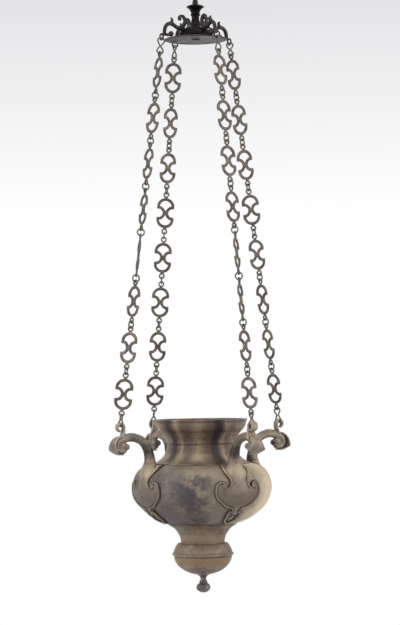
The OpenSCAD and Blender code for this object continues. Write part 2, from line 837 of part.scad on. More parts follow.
module lower_bowl() {
    color(olive)
        difference() {
            union() {
                rotate_extrude()
                    polygon(concat([[0, neck_bottom_z]], bowl_outline(0), [[0, bowl_bottom_z]]));
                translate([0, 0, bead_z])
                    rotate_extrude() translate([bowl_bead_r - 2, 0]) circle(2, $fn = 24);
            }
            rotate_extrude()
                polygon(concat(
                    [[0, neck_bottom_z + 1], [bowl_top_r - lower_wall - 3, neck_bottom_z + 1]],
                    [for (p = bowl_outline(lower_wall)) if (p[1] < neck_bottom_z - 1) p],
                    [[0, bowl_bottom_z + lower_wall]]
                ));
            translate([0, 0, bowl_bottom_z - 1])
                cylinder(h = lower_wall + 3, d = tie_rod_d + 2 * fit);
        }
}

module finial() {
    z = finial_top_z;
    squash = 0.76;
    ball_z = z - finial_stem_h - squash * finial_ball_r;
    color(steel)
        difference() {
            rotate_extrude()
                polygon(concat(
                    [[0, z], [8, z], [8, z - 1.2]],
                    bend([7, z - 1.6], [4.8, z - 2.6], [4.4, z - 0.45 * finial_stem_h],
                        [5.4, z - finial_stem_h + 1], 6),
                    [
                        for (a = [60:-15:-75])
                            [finial_ball_r * cos(a), ball_z + squash * finial_ball_r * sin(a)]
                    ],
                    [[0, ball_z - squash * finial_ball_r]]
                ));
            translate([0, 0, z - 6])
                cylinder(h = 7, d = 6 + 2 * fit);
        }
}

module tie_rod() {
    top = belly_bottom_z + belly_wall + nut_h + 4;
    color(steel) {
        translate([0, 0, finial_top_z])
            cylinder(h = top - finial_top_z, d = tie_rod_d);
        translate([0, 0, finial_top_z - 5.5])
            cylinder(h = 6, d = 6);
    }
}

module tie_nut() {
    washer_t = 1.5;
    color(steel)
        translate([0, 0, belly_bottom_z + belly_wall])
            difference() {
                union() {
                    cylinder(h = washer_t, d = 1.7 * tie_nut_af);
                    translate([0, 0, washer_t])
                        cylinder(h = nut_h, d = tie_nut_af / cos(30), $fn = 6);
                }
                translate([0, 0, -1])
                    cylinder(h = nut_h + washer_t + 2, d = tie_rod_d + 2 * fit);
            }
}

suspension_ring();
hanging_rod();
canopy_crown();
canopy_dish();
canopy_brackets();
canopy_washer();
for (i = [0:3]) {
    for (k = [0:link_n - 1])
        chain_link(i, k);
    chain_rings(i);
    chain_hooks(i);
    arm(i);
}
collar();
belly();
arm_screws();
lower_neck();
lower_bowl();
finial();
tie_rod();
tie_nut();
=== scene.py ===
"""Dresses the frame of a hanging votive lamp: canopy, pierced chains, turned vase and cast scroll arms."""

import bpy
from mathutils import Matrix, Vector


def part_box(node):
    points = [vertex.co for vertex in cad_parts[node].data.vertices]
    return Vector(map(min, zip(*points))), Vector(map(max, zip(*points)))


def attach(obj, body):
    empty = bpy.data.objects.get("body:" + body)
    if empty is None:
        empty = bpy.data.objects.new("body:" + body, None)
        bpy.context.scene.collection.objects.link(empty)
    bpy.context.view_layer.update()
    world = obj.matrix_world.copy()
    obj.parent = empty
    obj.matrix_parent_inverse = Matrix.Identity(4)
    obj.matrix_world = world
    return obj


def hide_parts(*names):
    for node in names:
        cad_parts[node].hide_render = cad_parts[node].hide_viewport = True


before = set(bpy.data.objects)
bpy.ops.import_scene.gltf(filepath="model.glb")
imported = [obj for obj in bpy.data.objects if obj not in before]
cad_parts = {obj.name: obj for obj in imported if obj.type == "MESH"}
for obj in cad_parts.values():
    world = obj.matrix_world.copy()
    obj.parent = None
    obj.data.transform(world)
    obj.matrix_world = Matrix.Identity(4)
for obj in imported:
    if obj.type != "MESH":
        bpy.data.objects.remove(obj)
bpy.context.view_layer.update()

import logging
import math
from dataclasses import dataclass, replace
from enum import Enum
from typing import Sequence

import bmesh
import bpy
from mathutils import Matrix, Vector, noise

LOG = logging.getLogger("votive_lamp")
MM = 0.001
SAME_POINT = 1e-4
ALONG_X, ALONG_Y, ALONG_Z = Vector((1, 0, 0)), Vector((0, 1, 0)), Vector((0, 0, 1))

Mesh = bpy.types.Mesh
Object = bpy.types.Object
Shape = bmesh.types.BMesh
Socket = bpy.types.NodeSocket
Point = tuple[float, float]
Station = tuple[float, ...]
Colour = tuple[int, int, int]


def height(node: str, top: bool = True) -> float:
    """Gives the height of a node's top or foot in millimetres, as the frame has it."""
    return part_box(node)[1 if top else 0][2] / MM


RIM_Z = height("collar")
DISH_Z = height("canopy_dish")


class Side(Enum):
    """The four chains and arms, with the turn in degrees from +X."""

    LEFT = 180
    FRONT = 270
    RIGHT = 0
    BACK = 90

    @property
    def word(self) -> str:
        """The side's name as the frame's nodes and bodies spell it."""
        return self.name.lower()

    @property
    def turn(self) -> Matrix:
        """The turn about the lamp's axis that carries a piece drawn on +X to this side."""
        return Matrix.Rotation(math.radians(self.value), 4, "Z")


# Drawing


def bend(a: float, b: float, c: float, d: float, t: float) -> float:
    """Gives the value a share t of the way from b to c, on a smooth line through all four."""
    return 0.5 * (
        2 * b + (c - a) * t + (2 * a - 5 * b + 4 * c - d) * t * t + (3 * b - a - 3 * c + d) * t * t * t
    )


def soft(points: Sequence[Station], steps: int = 4) -> list[Station]:
    """Draws a smooth line through points.

    Args:
        points: The points that the line goes through, with any sizes that change along it, in millimetres.
        steps: How many pieces each gap between two points gets.

    Returns:
        The line's points, first and last among them.
    """
    line: list[Station] = []
    last = len(points) - 1
    for i in range(last):
        near = [points[max(0, min(i + k, last))] for k in (-1, 0, 1, 2)]
        line += [tuple(bend(*values, j / steps) for values in zip(*near)) for j in range(steps)]
    line.append(tuple(points[-1]))
    return line


def beside(line: Sequence[Point], gap: float) -> list[Point]:
    """Draws a line that runs beside another at a fixed gap.

    Args:
        line: The line to follow.
        gap: How far to the left of it the new line runs.

    Returns:
        As many points as the line has.
    """
    out: list[Point] = []
    for (ax, ay), (x, y), (bx, by) in zip([line[0], *line], line, [*line[1:], line[-1]]):
        size = math.hypot(bx - ax, by - ay) or 1.0
        out.append((x - (by - ay) / size * gap, y + (bx - ax) / size * gap))
    return out


def arc(centre: Point, radius: float, start: float, end: float, steps: int) -> list[Point]:
    """Draws part of a circle.

    Args:
        centre: The circle's centre.
        radius: Its radius.
        start: The first angle, in degrees.
        end: The last angle, in degrees.
        steps: How many pieces the arc gets.

    Returns:
        The arc's points.
    """
    turns = [math.radians(start + (end - start) * i / steps) for i in range(steps + 1)]
    return [(centre[0] + radius * math.cos(a), centre[1] + radius * math.sin(a)) for a in turns]


def circle(radius: float, middle: float, steps: int) -> list[Point]:
    """Draws a whole circle about (0, middle), with no point twice."""
    turns = [math.tau * i / steps for i in range(steps)]
    return [(radius * math.cos(a), middle + radius * math.sin(a)) for a in turns]


ROUND = arc((0, 0), 1, 0, 330, 11)
BAR = [
    (math.copysign(abs(x) ** 0.7, x), math.copysign(abs(y) ** 0.7, y)) for x, y in arc((0, 0), 1, 15, 345, 11)
]
RIDGED = [
    (0.12, -1.0), (0.62, -0.72), (0.86, -0.3), (1.0, 0.0), (0.86, 0.3), (0.62, 0.72), (0.12, 1.0),
    (-0.45, 0.86), (-0.8, 0.45), (-0.88, 0.0), (-0.8, -0.45), (-0.45, -0.86),
]


def turned(bm: Shape, outline: Sequence[Point], steps: int, closed: bool = False) -> None:
    """Spins a half profile round the lamp's axis, as a lathe would cut it.

    Args:
        bm: The mesh that takes the shape.
        outline: Pairs of radius and height in millimetres.
        steps: How many sides the turned shape gets.
        closed: Whether the profile's end joins its start, as for a wall.
    """
    verts = [bm.verts.new((r, 0, z)) for r, z in outline]
    pairs = list(zip(verts, verts[1:])) + ([(verts[-1], verts[0])] if closed else [])
    edges = [bm.edges.new(pair) for pair in pairs]
    bmesh.ops.spin(
        bm, geom=verts + edges, cent=(0, 0, 0), axis=(0, 0, 1), angle=math.tau, steps=steps, use_merge=True
    )
    bmesh.ops.remove_doubles(bm, verts=bm.verts, dist=SAME_POINT)
    bmesh.ops.dissolve_degenerate(bm, edges=bm.edges, dist=SAME_POINT / 10)


def swept(bm: Shape, section: Sequence[Point], places: Sequence[Matrix], closed: bool = False) -> None:
    """Draws one section through a row of places and closes its ends.

    Args:
        bm: The mesh that takes the bar.
        section: The section's outline, one unit in half size.
        places: Where the section stands, how it is turned and how large it is.
        closed: Whether the last place joins the first, as in a ring.
    """
    verts = [bm.verts.new(places[0] @ Vector((x, y, 0))) for x, y in section]
    edges = [bm.edges.new((v, verts[(i + 1) % len(verts)])) for i, v in enumerate(verts)]
    first = list(edges)
    for last, place in zip(places, places[1:]):
        grown = bmesh.ops.extrude_edge_only(bm, edges=edges)["geom"]
        ring = [g for g in grown if isinstance(g, bmesh.types.BMVert)]
        edges = [g for g in grown if isinstance(g, bmesh.types.BMEdge) and g.is_boundary]
        bmesh.ops.transform(bm, matrix=place @ last.inverted(), verts=ring)
    if closed:
        bmesh.ops.bridge_loops(bm, edges=first + edges)
    else:
        bmesh.ops.edgeloop_fill(bm, edges=first)
        bmesh.ops.edgeloop_fill(bm, edges=edges)


def standing(at: Vector, *axes: Vector) -> Matrix:
    """Gives the place at a point whose three axes point and stretch as these do."""
    return Matrix.Translation(at) @ Matrix(axes).transposed().to_4x4()


def directions(line: Sequence[Vector], closed: bool = False) -> list[Vector]:
    """Gives a line's direction at each of its points, from the points before and after."""
    first, last = (line[-1], line[0]) if closed else (line[0], line[-1])
    return [(b - a).normalized() for a, b in zip([first, *line[:-1]], [*line[1:], last])]


def flat_places(
    line: Sequence[Vector], side: Vector, sizes: Sequence[Point], closed: bool = False
) -> list[Matrix]:
    """Sets out sections along a line that lies in one plane.

    Args:
        line: The points of the line.
        side: The direction square to its plane, which becomes each section's second axis.
        sizes: Half depth in the plane and half width along side, one pair for each point.
        closed: Whether the line ends where it starts.

    Returns:
        One matrix for each point.
    """
    out: list[Matrix] = []
    for at, along, (depth, width) in zip(line, directions(line, closed), sizes):
        across = along.cross(side).normalized()
        out.append(standing(at, across * depth, side * width, along))
    return out


def wire_places(line: Sequence[Vector], radius: float, closed: bool) -> list[Matrix]:
    """Sets out round sections along a wire bent in space, turned as little as it lets them.

    Args:
        line: The points along the wire.
        radius: Half the wire's thickness.
        closed: Whether the wire ends where it starts.

    Returns:
        One matrix for each point.
    """
    out: list[Matrix] = []
    across = Vector((0.31, 0.17, 0.93))  # Any direction that no wire here runs in.
    for at, along in zip(line, directions(line, closed)):
        across = (across - along * across.dot(along)).normalized()
        out.append(standing(at, across * radius, along.cross(across) * radius, along))
    return out


def radial_bar(
    bm: Shape, section: Sequence[Point], stations: Sequence[Station], base: float, steps: int
) -> None:
    """Sweeps a soft bar in the plane of +X and the lamp's axis.

    Args:
        bm: The mesh that takes the bar.
        section: The bar's section, one unit in half size.
        stations: Radius, height over the base, half depth and half width of each place.
        base: The height that the stations count from.
        steps: How many pieces each gap between two stations gets.
    """
    line = soft(stations, steps)
    middle = [Vector((r, 0, base + z)) for r, z, *_ in line]
    swept(bm, section, flat_places(middle, ALONG_Y, [p[2:] for p in line]))


def ball(bm: Shape, place: Matrix, size: float = 1.0, segments: int = 20, rings: int = 12) -> None:
    """Adds a ball, or an egg where the place stretches it."""
    bmesh.ops.create_uvsphere(bm, u_segments=segments, v_segments=rings, radius=size, matrix=place)


def rough(bm: Shape, amount: float, grain: float, seed: float = 0.0) -> None:
    """Moves a casting's skin in and out a little, as hand work and wear leave it.

    Args:
        bm: The mesh to move.
        amount: The most it moves, in millimetres.
        grain: How far apart its bumps lie, in millimetres.
        seed: Shifts the bumps, so that copies differ.
    """
    bm.normal_update()
    shift = Vector((seed * 3.7, seed * 1.3, seed * 2.1))
    for v in bm.verts:
        v.co += v.normal * amount * noise.noise(v.co / grain + shift)


def stored(bm: Shape, name: str) -> Mesh:
    """Keeps a shape, which is used up, as a mesh of the same size."""
    mesh = bpy.data.meshes.new(name)
    bm.to_mesh(mesh)
    bm.free()
    return mesh


def joined(bm: Shape, other: Shape) -> None:
    """Adds another shape, which is used up, to a shape."""
    mesh = stored(other, "part")
    bm.from_mesh(mesh)
    bpy.data.meshes.remove(mesh)


def placed(name: str, data: bpy.types.ID) -> Object:
    """Puts a mesh, a lamp or a camera in the scene."""
    made = bpy.data.objects.new(name, data)
    bpy.context.scene.collection.objects.link(made)
    return made


def to_mesh(bm: Shape, name: str, crease: float) -> Mesh:
    """Turns a finished shape in millimetres into a mesh in metres.

    Args:
        bm: The shape, which is used up.
        name: The mesh's name.
        crease: The angle in degrees past which an edge stays sharp.

    Returns:
        The mesh, its faces outwards, shaded smooth with its sharp edges marked.
    """
    bmesh.ops.recalc_face_normals(bm, faces=bm.faces)
    bmesh.ops.scale(bm, vec=(MM, MM, MM), verts=bm.verts)
    mesh = stored(bm, name)
    mesh.shade_smooth()
    mesh.set_sharp_from_angle(angle=math.radians(crease))
    return mesh


def with_modifier(bm: Shape, kind: str, **values: object) -> Shape:
    """Runs a modifier on a shape.

    Args:
        bm: The shape, which is used up.
        kind: The modifier's type.
        values: The modifier's settings.

    Returns:
        A new shape with the modifier applied.
    """
    mesh = stored(bm, "blank")
    blank = placed("blank", mesh)
    modifier = blank.modifiers.new(kind.title(), kind)
    for key, value in values.items():
        setattr(modifier, key, value)
    out = bmesh.new()
    out.from_mesh(blank.evaluated_get(bpy.context.evaluated_depsgraph_get()).to_mesh())
    bpy.data.objects.remove(blank)
    bpy.data.meshes.remove(mesh)
    return out


def cast(bm: Shape, grain: float, rounds: int, keep: float) -> Shape:
    """Melts overlapping bars into one casting with soft inner corners.

    Args:
        bm: The overlapping closed shapes, which are used up.
        grain: The size of the cells it is melted in, in millimetres.
        rounds: How often its skin is smoothed.
        keep: The share of its faces that is kept.

    Returns:
        One closed shape.
    """
    bmesh.ops.recalc_face_normals(bm, faces=bm.faces)
    out = with_modifier(bm, "REMESH", mode="VOXEL", voxel_size=grain)
    axes = {"use_axis_x": True, "use_axis_y": True, "use_axis_z": True}
    for _ in range(rounds):
        bmesh.ops.smooth_vert(out, verts=out.verts, factor=0.5, **axes)
    return with_modifier(out, "DECIMATE", ratio=keep)


# Finishes


def linear(colour: Colour) -> tuple[float, float, float, float]:
    """Turns a colour as a screen shows it, 0 to 255, into the renderer's own numbers."""
    steps = [c / 255 for c in colour]
    return (*[s / 12.92 if s <= 0.04045 else ((s + 0.055) / 1.055) ** 2.4 for s in steps], 1.0)


class Bench:
    """Lays out the nodes of a material or a node group."""

    def __init__(self, tree: bpy.types.NodeTree) -> None:
        """Starts on a tree."""
        self.tree = tree

    def node(self, kind: str, inputs: dict | None = None, **values: object) -> bpy.types.Node:
        """Adds a node.

        Args:
            kind: The node's type.
            inputs: Values or sockets for its inputs, by name or number.
            values: Settings of the node itself.

        Returns:
            The node.
        """
        made = self.tree.nodes.new(kind)
        for key, value in values.items():
            setattr(made, key, value)
        for key, value in (inputs or {}).items():
            if isinstance(value, Socket):
                self.tree.links.new(value, made.inputs[key])
            else:
                made.inputs[key].default_value = value
        return made

    def math(self, kind: str, a: object, b: object = 0.0, clamp: bool = True) -> Socket:
        """Joins two numbers by a sum, product or other step, kept between 0 and 1 unless told otherwise."""
        return self.node("ShaderNodeMath", {0: a, 1: b}, operation=kind, use_clamp=clamp).outputs[0]

    def plus(self, a: object, b: object) -> Socket:
        """Adds two numbers."""
        return self.math("ADD", a, b, False)

    def times(self, a: object, b: object) -> Socket:
        """Multiplies two numbers."""
        return self.math("MULTIPLY", a, b, False)

    def spread(self, value: object, low: float, high: float) -> Socket:
        """Stretches the part of a value between low and high to run from 0 to 1."""
        return self.node(
            "ShaderNodeMapRange", {"Value": value, "From Min": low, "From Max": high}
        ).outputs[0]

    def cloud(self, vector: object, scale: object, detail: float = 4.0, coarse: float = 0.55) -> Socket:
        """Adds soft noise and gives its value."""
        inputs = {"Vector": vector, "Scale": scale, "Detail": detail, "Roughness": coarse}
        return self.node("ShaderNodeTexNoise", inputs).outputs["Fac"]

    def stretched(self, vector: object, scale: tuple[float, float, float]) -> Socket:
        """Stretches coordinates along their axes."""
        return self.node("ShaderNodeMapping", {"Vector": vector, "Scale": scale}).outputs[0]

    def blend(self, share: object, a: object, b: object) -> Socket:
        """Mixes two colours, all of the second where share is 1."""
        return self.node("ShaderNodeMix", {0: share, 6: a, 7: b}, data_type="RGBA").outputs[2]


class Effect(Enum):
    """The effects that the finishes share, each one node group."""

    PATINA = "tarnish clouds"
    # Belts paint bands of tone, and also painted shadow at seams and painted highlights on up-facing
    # shoulders.
    BAND = "belt of tone and painted light"
    RING = "ring of tarnish"
    # Runs paint tone, and also painted reflections, highlights and shade down the collar and belly.
    RUN = "dark upright run"
    WEAR = "edge wear"
    # Hollows darken by concave pointiness: grime, and painted shade in place of ambient occlusion.
    HOLLOWS = "grime and painted shade in hollows"
    DUST = "settled dust"
    SKIN = "cast skin"
    LATHE = "turning lines"


@dataclass
class Given:
    """What each shared group is given: coordinates, its pattern's scale, strength, middle and half width."""

    vector: Socket
    scale: Socket
    amount: Socket
    middle: Socket
    half: Socket


class Effects:
    """Builds each shared node group once."""

    def __init__(self) -> None:
        """Starts with no groups."""
        self.made: dict[Effect, bpy.types.NodeTree] = {}

    def group(self, effect: Effect) -> bpy.types.NodeTree:
        """Gives the group for an effect, built on first use."""
        if effect not in self.made:
            tree = bpy.data.node_groups.new(effect.value, "ShaderNodeTree")
            tree.interface.new_socket("Vector", in_out="INPUT", socket_type="NodeSocketVector")
            for name, value in (("Scale", 1.0), ("Amount", 0.5), ("Middle", 0.0), ("Half Width", 0.01)):
                made = tree.interface.new_socket(name, in_out="INPUT", socket_type="NodeSocketFloat")
                made.default_value = value
            tree.interface.new_socket("Value", in_out="OUTPUT", socket_type="NodeSocketFloat")
            given = Given(*tree.nodes.new("NodeGroupInput").outputs[:5])
            out = tree.nodes.new("NodeGroupOutput")
            tree.links.new(getattr(self, effect.name.lower())(Bench(tree), given), out.inputs["Value"])
            self.made[effect] = tree
        return self.made[effect]

    def patina(self, bench: Bench, given: Given) -> Socket:
        """Large clouds broken up by small ones."""
        large = bench.cloud(given.vector, given.scale, 3.0, 0.6)
        small = bench.cloud(given.vector, bench.times(given.scale, 5.3), 6.0, 0.65)
        mixed = bench.plus(bench.times(large, 0.58), bench.times(small, 0.42))
        raised = bench.plus(mixed, bench.times(bench.plus(given.amount, -0.5), 0.4))
        return bench.spread(raised, 0.43, 0.57)

    def belt(self, bench: Bench, given: Given, where: Socket) -> Socket:
        """Marks what lies within a half width of the middle, with ragged edges.

        Args:
            bench: The group's bench.
            given: What the group is given.
            where: The height or distance that is measured.

        Returns:
            The share of the belt's colour.
        """
        gap = bench.math("ABSOLUTE", bench.plus(where, bench.times(given.middle, -1.0)), clamp=False)
        ragged = bench.plus(bench.cloud(given.vector, given.scale, 4.0, 0.6), -0.5)
        share = bench.plus(bench.math("DIVIDE", gap, given.half, False), bench.times(ragged, 1.6))
        return bench.math("MULTIPLY", bench.spread(share, 1.0, 0.35), given.amount)

    def band(self, bench: Bench, given: Given) -> Socket:
        """A belt at one height."""
        return self.belt(bench, given, bench.node("ShaderNodeSeparateXYZ", {0: given.vector}).outputs["Z"])

    def ring(self, bench: Bench, given: Given) -> Socket:
        """A belt at one distance from the lamp's axis."""
        flat = bench.stretched(given.vector, (1.0, 1.0, 0.0))
        away = bench.node("ShaderNodeVectorMath", {0: flat}, operation="LENGTH").outputs["Value"]
        return self.belt(bench, given, away)

    def run(self, bench: Bench, given: Given) -> Socket:
        """A run from top to bottom at one turn about the lamp's axis, with frayed sides."""
        parts = bench.node("ShaderNodeSeparateXYZ", {0: given.vector}).outputs
        turn = bench.math("ARCTAN2", parts["Y"], parts["X"], False)
        turn = bench.plus(turn, bench.times(given.middle, -1.0))
        turn = bench.node("ShaderNodeMath", {0: turn, 1: math.pi, 2: -math.pi}, operation="WRAP").outputs[0]
        away = bench.math("ABSOLUTE", turn, clamp=False)
        drawn_out = bench.stretched(given.vector, (1.0, 1.0, 0.22))
        frayed = bench.plus(bench.cloud(drawn_out, given.scale, 5.0, 0.65), -0.5)
        share = bench.plus(bench.math("DIVIDE", away, given.half, False), bench.times(frayed, 1.5))
        return bench.math("MULTIPLY", bench.spread(share, 1.0, 0.3), given.amount)

    def edges(self, bench: Bench, given: Given, crease: Point, patches: tuple[float, ...]) -> Socket:
        """Marks edges or hollows, patchily.

        Args:
            bench: The group's bench.
            given: What the group is given.
            crease: The pointiness where the mark starts and where it is full.
            patches: Its noise's detail and coarseness, then the values where a patch starts and is full.

        Returns:
            The mark's share.
        """
        sharp = bench.spread(bench.node("ShaderNodeNewGeometry").outputs["Pointiness"], *crease)
        patchy = bench.spread(bench.cloud(given.vector, given.scale, *patches[:2]), *patches[2:])
        return bench.math("MULTIPLY", bench.math("MULTIPLY", sharp, patchy), given.amount)

    def wear(self, bench: Bench, given: Given) -> Socket:
        """Outer edges rubbed back to brighter metal."""
        return self.edges(bench, given, (0.515, 0.6), (4.0, 0.6, 0.35, 0.62))

    def hollows(self, bench: Bench, given: Given) -> Socket:
        """Old grime and wax in the inner corners, together with painted shade there."""
        return self.edges(bench, given, (0.49, 0.43), (3.0, 0.55, 0.3, 0.6))

    def dust(self, bench: Bench, given: Given) -> Socket:
        """Pale dust on what faces up, thinner where it was touched."""
        normal = bench.node("ShaderNodeNewGeometry").outputs["Normal"]
        up = bench.spread(bench.node("ShaderNodeSeparateXYZ", {0: normal}).outputs["Z"], 0.1, 0.9)
        patchy = bench.spread(bench.cloud(given.vector, given.scale, 5.0, 0.65), 0.3, 0.6)
        return bench.math("MULTIPLY", bench.math("MULTIPLY", up, patchy), given.amount)

    def skin(self, bench: Bench, given: Given) -> Socket:
        """Fine pits and slow swells of a sand casting."""
        swell = bench.times(bench.cloud(given.vector, given.scale, 2.0, 0.5), 1.2)
        cells = {"Vector": given.vector, "Scale": bench.times(given.scale, 7.0)}
        pits = bench.node("ShaderNodeTexVoronoi", cells).outputs["Distance"]
        pitted = bench.times(bench.spread(pits, 0.0, 0.35), 0.25)
        fine = bench.times(bench.cloud(given.vector, bench.times(given.scale, 16.0), 3.0), 0.35)
        return bench.times(bench.plus(bench.plus(swell, pitted), fine), given.amount)

    def lathe(self, bench: Bench, given: Given) -> Socket:
        """Fine rings left by the turning tool."""
        flat = bench.stretched(given.vector, (0.02, 0.02, 1.0))
        return bench.times(bench.cloud(flat, given.scale, 3.0, 0.7), given.amount)


EFFECTS = Effects()

TARNISH_ROUGHER = 0.14
# The hollows' mark, grime with painted shade, also roughens and dulls the metal.
DIRT_AND_SHADE_ROUGHER = 0.3
WEAR_SMOOTHER = 0.12
DIRT_AND_SHADE_DULLS = 0.8
WEAR_BRIGHTENS = 0.2


@dataclass(frozen=True)
class Belt:
    """A belt of another colour: its middle and half width in millimetres, from the rim or the axis."""

    middle: float
    half: float
    colour: Colour
    share: float = 0.8
    grain: float = 40.0


@dataclass(frozen=True)
class Run:
    """A run of another colour down a piece, used for tone and for painted reflections, highlights and shade:
    its turn from +X and its half width in degrees.
    """

    turn: float
    half: float
    colour: Colour
    share: float = 0.85
    grain: float = 60.0


@dataclass(frozen=True)
class Bronze:
    """One finish of old bronze, brass or iron.

    The clouds go from metal to tarnish to pale oxide. Scales and grains of patterns are per metre.
    """

    name: str
    metal: Colour
    tarnish: Colour
    pale: Colour
    worn: Colour
    # The dark colour of grime and painted shade in the hollows.
    dirt: Colour = (38, 32, 28)
    dust: Colour = (150, 140, 120)
    cloud_scale: float = 30.0
    cloud_amount: float = 0.5
    pale_amount: float = 0.4
    belts: tuple[Belt, ...] = ()
    runs: tuple[Run, ...] = ()
    rings: tuple[Belt, ...] = ()
    wear: float = 0.5
    dirt_and_shade_amount: float = 0.7
    dustiness: float = 0.25
    metallic: float = 0.4
    roughness: float = 0.5
    skin: float = 0.5
    skin_scale: float = 90.0
    lathe: float = 0.0
    bump: float = 0.35
    depth: float = 0.0006
    bloom_share: float = 0.75
    wear_grain: float = 60.0
    dirt_grain: float = 45.0
    dust_grain: float = 70.0
    lathe_grain: float = 900.0

    def effect(self, bench: Bench, effect: Effect, vector: object, *values: float) -> Socket:
        """Places a shared effect with this finish's values.

        Args:
            bench: The material's bench.
            effect: The effect.
            vector: The coordinates that its pattern lies on.
            values: Its scale and amount, then its middle and half width where it has them.

        Returns:
            The effect's value.
        """
        made = bench.node("ShaderNodeGroup")
        made.node_tree = EFFECTS.group(effect)
        bench.tree.links.new(vector, made.inputs[0])
        for i, value in enumerate(values):
            made.inputs[i + 1].default_value = value
        return made.outputs["Value"]

    def coloured(self, bench: Bench, at: Socket, clouds: Socket) -> Socket:
        """Lays the finish's clouds and marks over one another.

        Args:
            bench: The material's bench.
            at: The coordinates that they lie on.
            clouds: The share of tarnish.

        Returns:
            The colour before wear, grime with painted shade in the hollows, and dust.
        """
        beyond = bench.node("ShaderNodeMapping", {"Vector": at, "Location": (3.1, 1.7, 5.3)}).outputs[0]
        bloom = self.effect(bench, Effect.PATINA, beyond, self.cloud_scale * 1.7, self.pale_amount)
        colour = bench.blend(clouds, linear(self.metal), linear(self.tarnish))
        colour = bench.blend(bench.math("MULTIPLY", bloom, self.bloom_share), colour, linear(self.pale))
        marks = [(Effect.BAND, b, (RIM_Z + b.middle) * MM, b.half * MM) for b in self.belts]
        marks += [(Effect.RING, b, b.middle * MM, b.half * MM) for b in self.rings]
        marks += [(Effect.RUN, r, math.radians(r.turn), math.radians(r.half)) for r in self.runs]
        for effect, mark, middle, half in marks:
            share = self.effect(bench, effect, at, mark.grain, mark.share, middle, half)
            colour = bench.blend(share, colour, linear(mark.colour))
        return colour

    def material(self) -> bpy.types.Material:
        """Gives the finish's material, built on first use."""
        ready = bpy.data.materials.get(self.name)
        if ready:
            return ready
        made = bpy.data.materials.new(self.name)
        made.use_nodes = True
        bench = Bench(made.node_tree)
        at = bench.node("ShaderNodeTexCoord").outputs["Object"]
        clouds = self.effect(bench, Effect.PATINA, at, self.cloud_scale, self.cloud_amount)
        rubbed = self.effect(bench, Effect.WEAR, at, self.wear_grain, self.wear)
        # Grime and painted shade in the hollows, from concave pointiness.
        dirt_and_shade_mask = self.effect(bench, Effect.HOLLOWS, at, self.dirt_grain, self.dirt_and_shade_amount)
        dusty = self.effect(bench, Effect.DUST, at, self.dust_grain, self.dustiness)
        colour = self.coloured(bench, at, clouds)
        for share, over in ((rubbed, self.worn), (dirt_and_shade_mask, self.dirt), (dusty, self.dust)):
            colour = bench.blend(share, colour, linear(over))
        dulled = bench.math("MAXIMUM", dirt_and_shade_mask, dusty)
        metallic: object = self.metallic
        roughness: object = self.roughness - 0.06
        for kind, share, weight in (
            ("SUBTRACT", dulled, self.metallic * DIRT_AND_SHADE_DULLS), ("ADD", rubbed, WEAR_BRIGHTENS),
        ):
            metallic = bench.math(kind, metallic, bench.math("MULTIPLY", share, weight))
        for kind, share, weight in (
            ("ADD", clouds, TARNISH_ROUGHER), ("ADD", dulled, DIRT_AND_SHADE_ROUGHER),
            ("SUBTRACT", rubbed, WEAR_SMOOTHER),
        ):
            roughness = bench.math(kind, roughness, bench.math("MULTIPLY", share, weight))
        raised = self.effect(bench, Effect.SKIN, at, self.skin_scale, self.skin)
        if self.lathe:
            raised = bench.plus(raised, self.effect(bench, Effect.LATHE, at, self.lathe_grain, self.lathe))
        bump = bench.node("ShaderNodeBump", {"Strength": self.bump, "Distance": self.depth, "Height": raised})
        shader = made.node_tree.nodes["Principled BSDF"]
        inputs = {"Base Color": colour, "Metallic": metallic, "Roughness": roughness}
        for key, socket in {**inputs, "Normal": bump.outputs[0]}.items():
            bench.tree.links.new(socket, shader.inputs[key])
        return made


DARK = Bronze(
    "black cast bronze", (20, 16, 17), (14, 12, 13), (38, 34, 33), (66, 60, 52), (12, 10, 11),
    (46, 43, 42), metallic=0.9, dustiness=0.08, wear=0.35,
)
GEAR = Bronze(
    "dark forged bronze", (56, 50, 51), (38, 34, 37), (76, 70, 67), (104, 95, 84), (20, 17, 18),
    (80, 76, 72), metallic=0.82, dustiness=0.15, wear=0.5,
)
DISH = Bronze(
    "grey turned dish", (66, 60, 61), (50, 46, 48), (84, 79, 76), (116, 108, 97), (34, 29, 29),
    (98, 93, 88), metallic=0.65, lathe=0.4, skin=0.25,
)
WASHER = replace(DISH, name="grey washer", dirt_and_shade_amount=0.0, wear=0.0)
ROD_FOOT = Belt(height("hanging_rod", False) + 1 - RIM_Z, 2.4, (74, 69, 70), 1.0, 5.0)
ROD = replace(GEAR, name="dark forged rod", belts=(ROD_FOOT,))
CHAIN = Bronze(
    "chain bronze", (96, 88, 80), (74, 68, 66), (122, 113, 100), (156, 144, 120), (42, 37, 35),
    (118, 110, 98), cloud_scale=60.0, metallic=0.55, wear=0.55,
)
ARM = Bronze(
    "arm bronze", (128, 114, 100), (92, 83, 78), (154, 140, 118), (186, 169, 139), (44, 36, 33),
    (158, 146, 124), cloud_scale=30.0, pale_amount=0.5, dirt_and_shade_amount=0.9, wear=0.75,
    # The dark belt at -46 is painted shade under the curl and round the root's waist; the pale belt at -76 is
    # partly tone, partly a painted highlight where the root and plate face up on the shoulder; -116 darkens
    # the lower plate.
    belts=(
        Belt(-46, 16, (46, 37, 37), 0.9, 50.0), Belt(-76, 12, (176, 161, 135), 0.75, 45.0),
        Belt(-116, 25, (90, 76, 65), 0.75, 40.0),
    ),
    rings=(Belt(142, 18, (136, 123, 111), 0.85, 60.0), Belt(112, 11, (108, 96, 88), 0.7, 60.0)),
)
# Dark strips beside the beads, at the plate's edge, round the bosses and along the vein: painted groove shade
# and the plate's painted contact shadow.
GROOVE_SHADE = Bronze(
    "painted shade in the grooves", (62, 50, 43), (44, 36, 34), (78, 64, 54), (90, 76, 62), (30, 25, 24),
    (84, 72, 60), metallic=0.15, roughness=0.72, wear=0.2,
)
